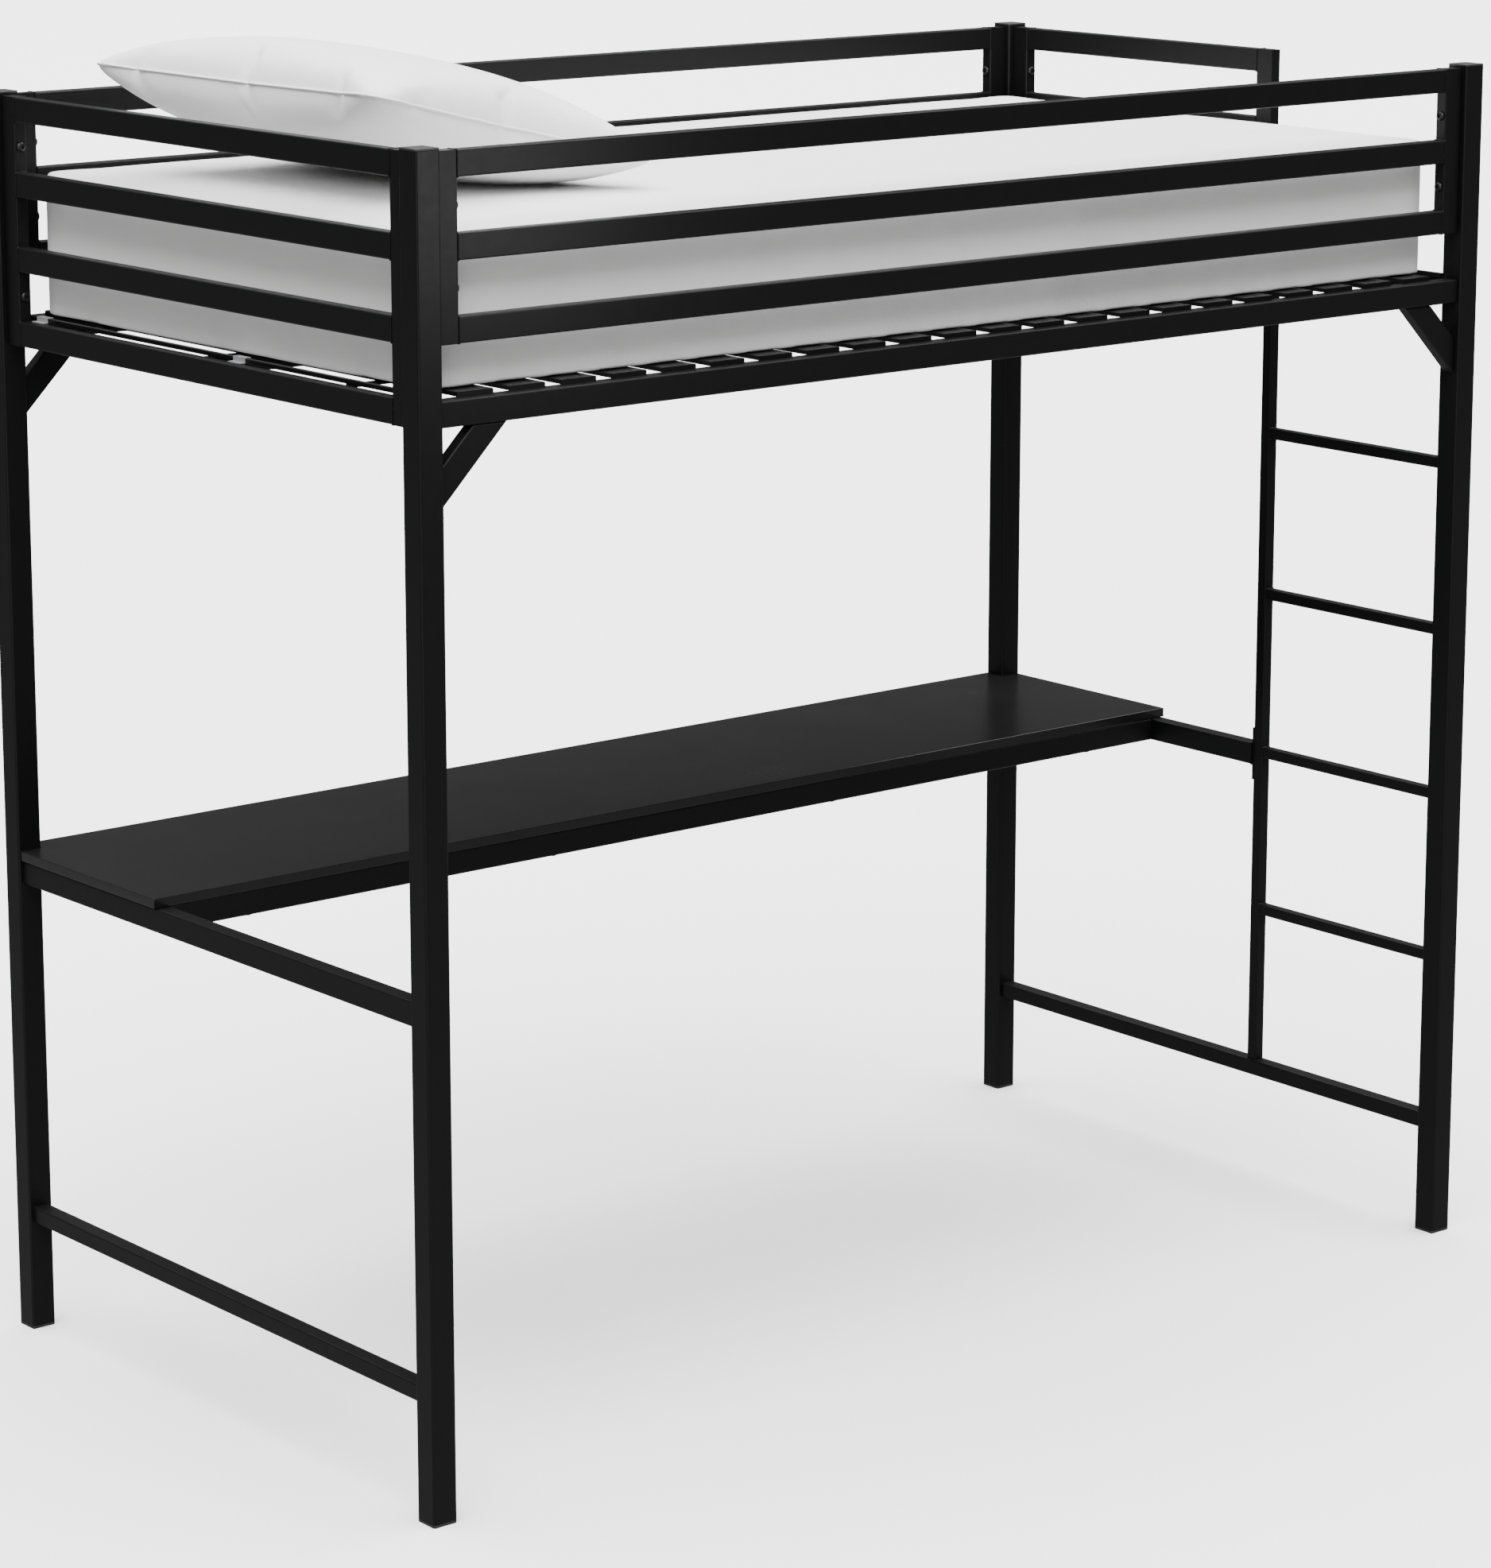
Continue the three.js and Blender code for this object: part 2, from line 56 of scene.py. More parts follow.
# %% [markdown]
# ## Camera, floor and light
#
# A long lens a little above the bed's height keeps the posts nearly upright. The small
# downward shift of the lens does the same, as the rising front of a view camera would.
#
# Two wide suns stand in for softboxes: one overhead, and a weaker one low at the front left
# that fills the mattress's sides. A sun lights the floor evenly out to its edge, where a panel
# lamp would leave a bright pool under the bed.
#
# Black steel shows mostly what it mirrors, so the surroundings matter more than the lamps.
# The world is darkest near the horizon, which is what level faces mirror when they are seen
# from low down, and brighter overhead and underfoot. The floor is left out of reflections and
# bounced light, because a white floor would wash out the underside of everything.

# %% Camera
CAMERA_PLACE = Vector((-4.554, -5.522, 2.464))
CAMERA_YAW = math.radians(39.4)          # turned from +Y towards +X
CAMERA_PITCH = math.radians(11.83)       # looking down
LENS = 112.5
LENS_SHIFT = -0.08

camera_data = bpy.data.cameras.new("camera")
camera_data.lens = LENS
camera_data.sensor_width = 36
camera_data.shift_y = LENS_SHIFT
camera = bpy.data.objects.new("camera", camera_data)
camera.location = CAMERA_PLACE
camera.rotation_euler = (math.pi / 2 - CAMERA_PITCH, 0, -CAMERA_YAW)
bpy.context.scene.collection.objects.link(camera)
bpy.context.scene.camera = camera
print("camera:", round(CAMERA_PLACE.length, 2), "m from the origin")

# %% Helpers for objects and lamps
def add_object(name, data):
    obj = bpy.data.objects.new(name, data)
    bpy.context.scene.collection.objects.link(obj)
    return obj


def soft_sun(name, towards, angle, strength):
    """A distant lamp as wide as a softbox. It lights the floor evenly out to its edge."""
    lamp = bpy.data.lights.new(name, "SUN")
    lamp.angle = math.radians(angle)
    lamp.energy = strength
    sun = add_object(name, lamp)
    sun.rotation_euler = (-Vector(towards)).to_track_quat("-Z", "Y").to_euler()


def glint_lamp(name, place, aim, size, power):
    """A small lamp that is seen only as a reflection."""
    lamp = bpy.data.lights.new(name, "AREA")
    lamp.size = size
    lamp.energy = power
    panel = add_object(name, lamp)
    panel.location = place
    panel.rotation_euler = (Vector(aim) - panel.location).to_track_quat("-Z", "Y").to_euler()
    panel.visible_diffuse = False
    panel.visible_camera = False


# %% Floor that curves up into a backdrop
FLOOR_FLAT = 16.0              # radius of the level part
FLOOR_RISE = 9.0               # height and radius of the curved edge
RINGS = 10
SPOKES = 64

floor_material = bpy.data.materials.new("pale_floor")
floor_material.use_nodes = True
floor_paint = floor_material.node_tree.nodes["Principled BSDF"]
floor_paint.inputs["Base Color"].default_value = (0.93, 0.93, 0.93, 1)
floor_paint.inputs["Roughness"].default_value = 1.0
floor_paint.inputs["Specular IOR Level"].default_value = 0.0

floor_profile = [(FLOOR_FLAT + FLOOR_RISE * math.sin(math.pi / 2 * i / RINGS),
                  FLOOR_RISE * (1 - math.cos(math.pi / 2 * i / RINGS))) for i in range(RINGS + 1)]
floor_shape = bmesh.new()
floor_rings = [[floor_shape.verts.new((r * math.cos(math.tau * k / SPOKES),
                                       r * math.sin(math.tau * k / SPOKES), z))
                for k in range(SPOKES)] for r, z in floor_profile]
floor_shape.faces.new(floor_rings[0])
for inner, outer in zip(floor_rings, floor_rings[1:]):
    for k in range(SPOKES):
        n = (k + 1) % SPOKES
        floor_shape.faces.new((inner[k], outer[k], outer[n], inner[n]))
floor_mesh = bpy.data.meshes.new("floor")
floor_shape.to_mesh(floor_mesh)
floor_shape.free()
floor_mesh.materials.append(floor_material)
floor_mesh.shade_smooth()
floor = add_object("floor", floor_mesh)
floor.visible_diffuse = False
floor.visible_glossy = False

# %% World
WORLD_STOPS = [(0.0, 0.9), (0.3, 0.7), (0.42, 0.25), (0.5, 0.08), (0.64, 0.10), (0.85, 0.5),
               (1.0, 0.8)]

world = bpy.data.worlds.new("studio")
world.use_nodes = True
world_tree = world.node_tree
sky_place = world_tree.nodes.new("ShaderNodeTexCoord")
sky_axes = world_tree.nodes.new("ShaderNodeSeparateXYZ")
sky_height = world_tree.nodes.new("ShaderNodeMapRange")
sky_height.inputs["From Min"].default_value = -1
sky_shade = world_tree.nodes.new("ShaderNodeValToRGB")
while len(sky_shade.color_ramp.elements) < len(WORLD_STOPS):
    sky_shade.color_ramp.elements.new(1.0)
for stop, (place, shade) in zip(sky_shade.color_ramp.elements, WORLD_STOPS):
    stop.position = place
    stop.color = (shade, shade, shade, 1)
world_tree.links.new(sky_place.outputs["Generated"], sky_axes.inputs["Vector"])
world_tree.links.new(sky_axes.outputs["Z"], sky_height.inputs["Value"])
world_tree.links.new(sky_height.outputs["Result"], sky_shade.inputs["Fac"])
world_tree.links.new(sky_shade.outputs["Color"], world_tree.nodes["Background"].inputs["Color"])
world_tree.nodes["Background"].inputs["Strength"].default_value = 1.0
bpy.context.scene.world = world
print("world stops:", len(WORLD_STOPS))

# %% [markdown]
# The glint is placed where the front top rail, beside the pillow, mirrors it: such a short
# streak of light is what tells the eye that a black tube has a flat, satin face.

# %% Lamps
soft_sun("top_sun", (0.0, -0.1, 1.0), 90, 12.0)
soft_sun("key_sun", (-0.6, -0.6, 0.32), 60, 2.6)
glint_lamp("glint", (-0.49, -1.17, 1.72), (-0.9, -0.5, 1.8), size=0.35, power=2.5)

# %% [markdown]
# ## Finishes
#
# Every finish is built from nodes on Object coordinates, which are metres here, so a scale of
# 1000 gives a pattern about a millimetre across. Powder coat melts into a faint orange peel:
# fine bumps, and a roughness that wanders a little.

# %% Node helpers
def new_finish(name, color, roughness, specular=0.5):
    """A Principled material with its plain values set, and its node tree to build on."""
    material = bpy.data.materials.new(name)
    material.use_nodes = True
    shader = material.node_tree.nodes["Principled BSDF"]
    shader.inputs["Base Color"].default_value = (*color, 1)
    shader.inputs["Roughness"].default_value = roughness
    shader.inputs["Specular IOR Level"].default_value = specular
    material.diffuse_color = (*color, 1)
    return material, material.node_tree, shader


def object_coordinates(tree, stretch=(1, 1, 1), turn=(0, 0, 0)):
    place = tree.nodes.new("ShaderNodeTexCoord")
    mapping = tree.nodes.new("ShaderNodeMapping")
    mapping.inputs["Scale"].default_value = stretch
    mapping.inputs["Rotation"].default_value = turn
    tree.links.new(place.outputs["Object"], mapping.inputs["Vector"])
    return mapping.outputs["Vector"]


def noise_value(tree, vector, scale, detail=2.0):
    texture = tree.nodes.new("ShaderNodeTexNoise")
    texture.inputs["Scale"].default_value = scale
    texture.inputs["Detail"].default_value = detail
    tree.links.new(vector, texture.inputs["Vector"])
    return texture.outputs["Fac"]


def spread(tree, value, low, high):
    """A 0 to 1 value remapped to run from low to high."""
    remap = tree.nodes.new("ShaderNodeMapRange")
    remap.inputs["To Min"].default_value = low
    remap.inputs["To Max"].default_value = high
    tree.links.new(value, remap.inputs["Value"])
    return remap.outputs["Result"]


def blend_colors(tree, value, first, second):
    mix = tree.nodes.new("ShaderNodeMix")
    mix.data_type = "RGBA"
    mix.inputs["A"].default_value = (*first, 1)
    mix.inputs["B"].default_value = (*second, 1)
    tree.links.new(value, mix.inputs["Factor"])
    return mix.outputs["Result"]


def add_bump(tree, shader, height, strength, distance, below=None):
    bump = tree.nodes.new("ShaderNodeBump")
    bump.inputs["Strength"].default_value = strength
    bump.inputs["Distance"].default_value = distance
    tree.links.new(height, bump.inputs["Height"])
    if below is not None:
        tree.links.new(below, bump.inputs["Normal"])
    tree.links.new(bump.outputs["Normal"], shader.inputs["Normal"])
    return bump.outputs["Normal"]


# %% Steel and plastic finishes
def powder_coat():
    material, tree, shader = new_finish("black_powder_coat", (0.004, 0.004, 0.0043), 0.4, 0.15)
    place = object_coordinates(tree)
    tree.links.new(spread(tree, noise_value(tree, place, 60, 3), 0.34, 0.46),
                   shader.inputs["Roughness"])
    peel = noise_value(tree, place, 900, 1)
    add_bump(tree, shader, peel, 0.12, 0.0002)
    return material


def bolt_black():
    material, tree, shader = new_finish("black_zinc", (0.02, 0.02, 0.022), 0.32, 0.5)
    shader.inputs["Metallic"].default_value = 0.7
    place = object_coordinates(tree)
    tree.links.new(spread(tree, noise_value(tree, place, 700, 2), 0.26, 0.42),
                   shader.inputs["Roughness"])
    return material


def moulded_plastic():
    material, tree, shader = new_finish("black_moulded_plastic", (0.014, 0.014, 0.015), 0.55, 0.4)
    place = object_coordinates(tree)
    add_bump(tree, shader, noise_value(tree, place, 1500, 2), 0.25, 0.0002)
    return material


def spring_steel():
    material, tree, shader = new_finish("grey_spring_clip", (0.32, 0.32, 0.33), 0.45, 0.5)
    shader.inputs["Metallic"].default_value = 0.4
    place = object_coordinates(tree)
    tree.links.new(spread(tree, noise_value(tree, place, 400, 2), 0.38, 0.55),
                   shader.inputs["Roughness"])
    return material


def black_laminate():
    """The desk's melamine face: smoother than the steel, with a faint pressed texture."""
    material, tree, shader = new_finish("black_laminate", (0.006, 0.006, 0.0063), 0.24, 0.4)
    place = object_coordinates(tree)
    tree.links.new(spread(tree, noise_value(tree, place, 9, 4), 0.2, 0.3),
                   shader.inputs["Roughness"])
    pores = noise_value(tree, place, 1400, 2)
    add_bump(tree, shader, pores, 0.08, 0.0001)
    return material


STEEL = powder_coat()
BOLT = bolt_black()
PLASTIC = moulded_plastic()
CLIP = spring_steel()
LAMINATE = black_laminate()

# %% [markdown]
# Cloth is seen as threads only from close by, so its weave is a pair of crossed waves at the
# thread's spacing, broken up by noise. On the mattress the waves make the small loops of a
# knit, and on the pillow a plain, tighter weave.

# %% Cloth finishes
def thread_waves(tree, place, threads_per_metre, direction):
    wave = tree.nodes.new("ShaderNodeTexWave")
    wave.wave_type = "BANDS"
    wave.bands_direction = direction
    # A wave texture of scale 1 repeats every tenth of pi units.
    wave.inputs["Scale"].default_value = threads_per_metre * math.pi / 10
    wave.inputs["Distortion"].default_value = 0.6
    wave.inputs["Detail"].default_value = 1
    tree.links.new(place, wave.inputs["Vector"])
    return wave.outputs["Fac"]


def multiply(tree, first, second):
    node = tree.nodes.new("ShaderNodeMath")
    node.operation = "MULTIPLY"
    tree.links.new(first, node.inputs[0])
    tree.links.new(second, node.inputs[1])
    return node.outputs["Value"]


def woven_cloth(name, color, shade, threads, strength):
    material, tree, shader = new_finish(name, color, 0.9, 0.2)
    shader.inputs["Sheen Weight"].default_value = 0.25
    shader.inputs["Sheen Roughness"].default_value = 0.6
    place = object_coordinates(tree)
    cloudy = noise_value(tree, place, 14, 3)
    tree.links.new(blend_colors(tree, cloudy, color, shade), shader.inputs["Base Color"])
    weave = multiply(tree, thread_waves(tree, place, threads, "DIAGONAL"),
                     thread_waves(tree, place, threads, "Y"))
    slubs = noise_value(tree, place, threads / 3, 2)
    first = add_bump(tree, shader, weave, strength, 0.0004)
    add_bump(tree, shader, slubs, 0.15, 0.0005, first)
    return material


KNIT = woven_cloth("mattress_knit", (0.80, 0.80, 0.795), (0.74, 0.74, 0.735), 620, 0.35)
COTTON = woven_cloth("pillow_cotton", (0.80, 0.80, 0.81), (0.76, 0.76, 0.77), 900, 0.2)
print("finishes:", [m.name for m in (STEEL, BOLT, PLASTIC, CLIP, LAMINATE, KNIT, COTTON)])

# %% [markdown]
# ## One Geometry Nodes tree for every square tube
#
# All of the steel is straight rectangular tube with rounded corners, so one tree makes it
# all. It takes a cloud of points, one for each length of tube, and each point carries two
# attributes: how long its tube is, and which way it is turned. A rounded bar one metre long
# is instanced on every point and stretched to its length, which leaves the corners round.

# %% Tree helpers
def new_tree(name, inputs):
    """A Geometry Nodes tree with the named inputs, and its input and output nodes."""
    tree = bpy.data.node_groups.new(name, "GeometryNodeTree")
    tree.interface.new_socket("Geometry", in_out="INPUT", socket_type="NodeSocketGeometry")
    for label, kind in inputs:
        tree.interface.new_socket(label, in_out="INPUT", socket_type=kind)
    tree.interface.new_socket("Geometry", in_out="OUTPUT", socket_type="NodeSocketGeometry")
    return tree, tree.nodes.new("NodeGroupInput"), tree.nodes.new("NodeGroupOutput")


def finish_tree(tree, source, output, instances):
    """Ends a tree: the instances become real mesh and get the material input."""
    real = tree.nodes.new("GeometryNodeRealizeInstances")
    paint = tree.nodes.new("GeometryNodeSetMaterial")
    tree.links.new(instances, real.inputs["Geometry"])
    tree.links.new(real.outputs["Geometry"], paint.inputs["Geometry"])
    tree.links.new(source.outputs["Material"], paint.inputs["Material"])
    tree.links.new(paint.outputs["Geometry"], output.inputs["Geometry"])


def named_attribute(tree, name, kind):
    node = tree.nodes.new("GeometryNodeInputNamedAttribute")
    node.data_type = kind
    node.inputs["Name"].default_value = name
    return node.outputs["Attribute"]


def turned_instances(tree, points, instance):
    """Instances on points, turned by each point's own turn attribute."""
    place = tree.nodes.new("GeometryNodeInstanceOnPoints")
    turn = tree.nodes.new("FunctionNodeEulerToRotation")
    tree.links.new(points, place.inputs["Points"])
    tree.links.new(instance, place.inputs["Instance"])
    tree.links.new(named_attribute(tree, "turn", "FLOAT_VECTOR"), turn.inputs["Euler"])
    tree.links.new(turn.outputs["Rotation"], place.inputs["Rotation"])
    return place


# %% The tube tree
def build_tube_tree():
    tree, source, output = new_tree("square_tube", [
        ("Width", "NodeSocketFloat"), ("Depth", "NodeSocketFloat"),
        ("Corner", "NodeSocketFloat"), ("Material", "NodeSocketMaterial")])
    link = tree.links.new
    outline = tree.nodes.new("GeometryNodeCurvePrimitiveQuadrilateral")
    fillet = tree.nodes.new("GeometryNodeFilletCurve")
    fillet.mode = "POLY"
    fillet.inputs["Count"].default_value = 4
    line = tree.nodes.new("GeometryNodeCurvePrimitiveLine")
    line.inputs["Start"].default_value = (0, 0, -0.5)
    line.inputs["End"].default_value = (0, 0, 0.5)
    bar = tree.nodes.new("GeometryNodeCurveToMesh")
    bar.inputs["Fill Caps"].default_value = True
    link(source.outputs["Width"], outline.inputs["Width"])
    link(source.outputs["Depth"], outline.inputs["Height"])
    link(outline.outputs["Curve"], fillet.inputs["Curve"])
    link(source.outputs["Corner"], fillet.inputs["Radius"])
    link(line.outputs["Curve"], bar.inputs["Curve"])
    link(fillet.outputs["Curve"], bar.inputs["Profile Curve"])
    place = turned_instances(tree, source.outputs["Geometry"], bar.outputs["Mesh"])
    stretch = tree.nodes.new("ShaderNodeCombineXYZ")
    stretch.inputs["X"].default_value = 1
    stretch.inputs["Y"].default_value = 1
    link(named_attribute(tree, "run", "FLOAT"), stretch.inputs["Z"])
    link(stretch.outputs["Vector"], place.inputs["Scale"])
    finish_tree(tree, source, output, place.outputs["Instances"])
    return tree


TUBE_TREE = build_tube_tree()

# %% Run a tree and keep its result as a plain mesh
def grow(obj, tree, **values):
    modifier = obj.modifiers.new(tree.name, "NODES")
    modifier.node_group = tree
    for item in tree.interface.items_tree:
        if item.in_out == "INPUT" and item.name in values:
            modifier[item.identifier] = values[item.name]
    bpy.context.view_layer.update()
    evaluated = obj.evaluated_get(bpy.context.evaluated_depsgraph_get())
    shape = bpy.data.meshes.new_from_object(evaluated)
    obj.modifiers.remove(modifier)
    obj.data = shape
    return obj


def smooth(obj, degrees=40):
    """Smooth shading that leaves the large faces looking flat."""
    obj.data.shade_smooth()
    obj.data.set_sharp_from_angle(angle=math.radians(degrees))
    weigh = obj.modifiers.new("Weighted Normal", "WEIGHTED_NORMAL")
    weigh.keep_sharp = True
    weigh.weight = 100
    evaluated = obj.evaluated_get(bpy.context.evaluated_depsgraph_get())
    shape = bpy.data.meshes.new_from_object(evaluated)
    obj.modifiers.remove(weigh)
    obj.data = shape


def point_cloud(name, points, turns, runs=None):
    """A mesh of loose points that carries a turn, and a run where tubes need one."""
    mesh = bpy.data.meshes.new(name)
    mesh.from_pydata([tuple(p) for p in points], [], [])
    turn = mesh.attributes.new("turn", "FLOAT_VECTOR", "POINT")
    turn.data.foreach_set("vector", np.array(turns, dtype=float).ravel())
    if runs is not None:
        run = mesh.attributes.new("run", "FLOAT", "POINT")
        run.data.foreach_set("value", np.array(runs, dtype=float))
    return add_object(name, mesh)


# %% [markdown]
# A tube is given by the lowest and highest corner of its block and the axis it runs along.
# The bar in the tree stands along Z with its width along X, so a tube along X or Y is turned
# from there, and its width is always the side that stays across it.

# %% Tubes from blocks
TURN_FOR_AXIS = {X: (0, math.pi / 2, 0), Y: (math.pi / 2, 0, 0), Z: (0, 0, 0)}


def tube_section(size, axis):
    """(width, depth) of a block's section, as the turned bar needs them."""
    return {X: (size[Z], size[Y]), Y: (size[X], size[Z]), Z: (size[X], size[Y])}[axis]


def make_tubes(name, blocks, corner, material):
    """One object of tubes. blocks is a list of (low, high, axis)."""
    by_section = {}
    for low, high, axis in blocks:
        size = Vector(high) - Vector(low)
        width, depth = tube_section(size, axis)
        key = (round(width, 5), round(depth, 5))
        by_section.setdefault(key, []).append(
            ((Vector(low) + Vector(high)) / 2, TURN_FOR_AXIS[axis], size[axis]))
    parts = []
    for (width, depth), tubes in by_section.items():
        points, turns, runs = zip(*tubes)
        cloud = point_cloud(name, points, turns, runs)
        parts.append(grow(cloud, TUBE_TREE, Width=width, Depth=depth, Corner=corner,
                          Material=material))
    return join(name, parts)


def join(name, parts):
    """Several objects' meshes as one object."""
    whole = bmesh.new()
    materials = []
    for part in parts:
        start = len(whole.faces)
        whole.from_mesh(part.data)
        whole.faces.ensure_lookup_table()
        for slot in part.data.materials:
            if slot not in materials:
                materials.append(slot)
        for face in whole.faces[start:]:
            slots = part.data.materials
            face.material_index = materials.index(slots[face.material_index])
        bpy.data.objects.remove(part)
    mesh = bpy.data.meshes.new(name)
    whole.to_mesh(mesh)
    whole.free()
    for material in materials:
        mesh.materials.append(material)
    return add_object(name, mesh)


def settle(obj, body, slot, *nodes):
    """The last step for a piece: it rides on its body and stands for its CAD nodes."""
    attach(obj, body)
    if nodes:
        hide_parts(*nodes)


# %% [markdown]
# ## Straight tubes
#
# Posts, rails, crossbars, rungs and the stile are each one length of tube that fills its CAD
# node's box. A tube of this gauge is rolled with an outer corner of about twice its wall,
# which is what catches the light as a thin bright line down each edge.

# %% Posts, rails, crossbars and ladder
CORNERS = ["front_head", "back_head", "front_foot", "back_foot"]
POST_CORNER = 3.2 * MM
TUBE_CORNER = 2.6 * MM
RUNG_CORNER = 2.0 * MM

STRAIGHT = {
    "side_rail_front": TUBE_CORNER, "side_rail_back": TUBE_CORNER,
    "end_rail_foot": TUBE_CORNER, "centre_beam": TUBE_CORNER,
    "low_bar_head": TUBE_CORNER, "low_bar_foot": TUBE_CORNER,
    "desk_bar_head": TUBE_CORNER, "desk_rail_front": TUBE_CORNER,
    "desk_rail_back": TUBE_CORNER, "ladder_stile": RUNG_CORNER,
}
STRAIGHT |= {f"post_{corner}": POST_CORNER for corner in CORNERS}
STRAIGHT |= {f"ladder_rung_{step}": RUNG_CORNER for step in (1, 2, 3, 4)}


def node_block(node):
    """(low, high, axis) of a CAD node that is one straight tube."""
    low, high = map(Vector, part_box(node))
    size = high - low
    return low, high, max((X, Y, Z), key=lambda axis: size[axis])


for node, corner in STRAIGHT.items():
    tube = make_tubes(f"{node}_tube", [node_block(node)], corner, STEEL)
    smooth(tube)
    settle(tube, "frame", "black_steel", node)
print("straight tubes:", len(STRAIGHT))

# %% [markdown]
# ## Welded frames
#
# A guard is two uprights with rails butted between them. The rails' spacing is the same on
# every side, so each frame is worked out from its CAD box: the top rail lies along the top
# edge, and the others follow below it at one pitch.

# %% Guard and head frames
RAIL_HEIGHT = 35 * MM
RAIL_PITCH = 106 * MM
UPRIGHT = 33 * MM
LAP = 0.3 * MM                 # how far a rail's end sinks into its upright


def frame_blocks(node, along, rail_count, near_drop=0.0):
    """Blocks of a guard's uprights, and of its rails. near_drop lengthens the near upright."""
    low, high = map(Vector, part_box(node))
    bottom = high.z - RAIL_HEIGHT - (rail_count - 1) * RAIL_PITCH
    near_low, near_high = low.copy(), high.copy()
    near_high[along] = low[along] + UPRIGHT
    near_low.z = bottom - near_drop
    far_low, far_high = low.copy(), high.copy()
    far_low[along] = high[along] - UPRIGHT
    far_low.z = bottom
    rails = []
    for step in range(rail_count):
        rail_low, rail_high = low.copy(), high.copy()
        rail_low[along] += UPRIGHT - LAP
        rail_high[along] -= UPRIGHT - LAP
        rail_low.z = bottom + step * RAIL_PITCH
        rail_high.z = rail_low.z + RAIL_HEIGHT
        rails.append((rail_low, rail_high, along))
    return [(near_low, near_high, Z), (far_low, far_high, Z)], rails


foot_low, foot_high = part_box("guard_foot")
foot_drop = foot_high[Z] - RAIL_HEIGHT - 2 * RAIL_PITCH - foot_low[Z]
FRAMES = {
    "guard_front": (X, 3, 0.0),
    "guard_back": (X, 3, 0.0),
    "head_frame": (Y, 4, 0.0),
    "guard_foot": (Y, 3, foot_drop),
}
weld_loops = []


def section_loop(low, high, axis, at):
    """The outline of a tube's section at one place along it, as four corners."""
    a, b = [i for i in (X, Y, Z) if i != axis]
    corners = []
    for pick_a, pick_b in ((low, low), (high, low), (high, high), (low, high)):
        corner = Vector((0, 0, 0))
        corner[axis], corner[a], corner[b] = at, pick_a[a], pick_b[b]
        corners.append(corner)
    return corners


for node, (along, rail_count, drop) in FRAMES.items():
    uprights, rails = frame_blocks(node, along, rail_count, drop)
    guard = make_tubes(f"{node}_tubes", uprights + rails, TUBE_CORNER, STEEL)
    smooth(guard)
    own = [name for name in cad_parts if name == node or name.startswith(f"{node}_rail")]
    settle(guard, "frame", "black_steel", *own)
    for low, high, axis in rails:
        for at in (low[axis] + LAP, high[axis] - LAP):
            weld_loops.append(section_loop(low, high, axis, at))
print("welded frames:", len(FRAMES), "weld loops so far:", len(weld_loops))

# %% The desk bar at the ladder end, with its end plate
bar_low, bar_high = map(Vector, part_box("desk_bar_foot"))
head_low, head_high = map(Vector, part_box("desk_bar_head"))
PLATE_THICKNESS = 3 * MM
plate_high = bar_high.copy()
plate_high.y = bar_low.y + PLATE_THICKNESS
stile_low, stile_high = map(Vector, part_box("ladder_stile"))
plate_low = Vector((stile_low.x, bar_low.y, bar_low.z))
plate_high.x = stile_high.x
tube_low = Vector((bar_low.x, bar_low.y + PLATE_THICKNESS - LAP, head_low.z))
tube_high = Vector((bar_high.x, bar_high.y, head_high.z))
desk_bar = make_tubes("desk_bar_foot_tube", [(tube_low, tube_high, Y)], TUBE_CORNER, STEEL)
end_plate = make_tubes("end_plate", [(plate_low, plate_high, Z)], 0.8 * MM, STEEL)
desk_bar = join("desk_bar_foot_tube", [desk_bar, end_plate])
smooth(desk_bar)
settle(desk_bar, "frame", "black_steel", "desk_bar_foot")
weld_loops.append(section_loop(tube_low, tube_high, Y, plate_high.y))

# %% [markdown]
# ## Braces
#
# Four short tubes at 45 degrees stiffen the corners under the bed. Their ends are sawn flush
# with the post and the rail, so a brace is an outline in the plane of the bed's side, given
# its depth and then softened edges.

# %% Braces
BRACE_WIDTH = 38 * MM


def extruded(name, outline, axis, low, high, material):
    """A closed outline, given as points in the plane across axis, filled from low to high."""
    shape = bmesh.new()
    rings = []
    for level in (low, high):
        ring = []
        for a, b in outline:
            place = [a, b]
            place.insert(axis, level)
            ring.append(shape.verts.new(place))
        rings.append(ring)
    count = len(outline)
    shape.faces.new(rings[0])
    shape.faces.new(rings[1])
    for i in range(count):
        j = (i + 1) % count
        shape.faces.new((rings[0][i], rings[0][j], rings[1][j], rings[1][i]))
    bmesh.ops.recalc_face_normals(shape, faces=shape.faces)
    mesh = bpy.data.meshes.new(name)
    shape.to_mesh(mesh)
    shape.free()
    mesh.materials.append(material)
    return add_object(name, mesh)


def round_edges(obj, width, segments=3, degrees=25):
    """Rounds every edge sharper than the given angle."""
    shape = bmesh.new()
    shape.from_mesh(obj.data)
    limit = math.radians(degrees)
    sharp = [e for e in shape.edges if e.is_manifold and e.calc_face_angle() > limit]
    bmesh.ops.bevel(shape, geom=sharp, offset=width, segments=segments, profile=0.5,
                    affect="EDGES", clamp_overlap=True)
    shape.to_mesh(obj.data)
    shape.free()


for corner in CORNERS:
    low, high = map(Vector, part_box(f"brace_{corner}"))
    leg = high.x - low.x
    cut = BRACE_WIDTH * math.sqrt(2)
    post_x = low.x if "head" in corner else high.x
    away = 1 if "head" in corner else -1
    outline = [(post_x, high.z - leg), (post_x + away * leg, high.z),
               (post_x + away * (leg - cut), high.z), (post_x, high.z - leg + cut)]
    brace = extruded(f"brace_{corner}_tube", outline, Y, low.y, high.y, STEEL)
    round_edges(brace, 2.2 * MM)
    smooth(brace)
    settle(brace, "frame", "black_steel", f"brace_{corner}")
print("braces:", len(CORNERS), "leg:", round(leg, 3), "m")

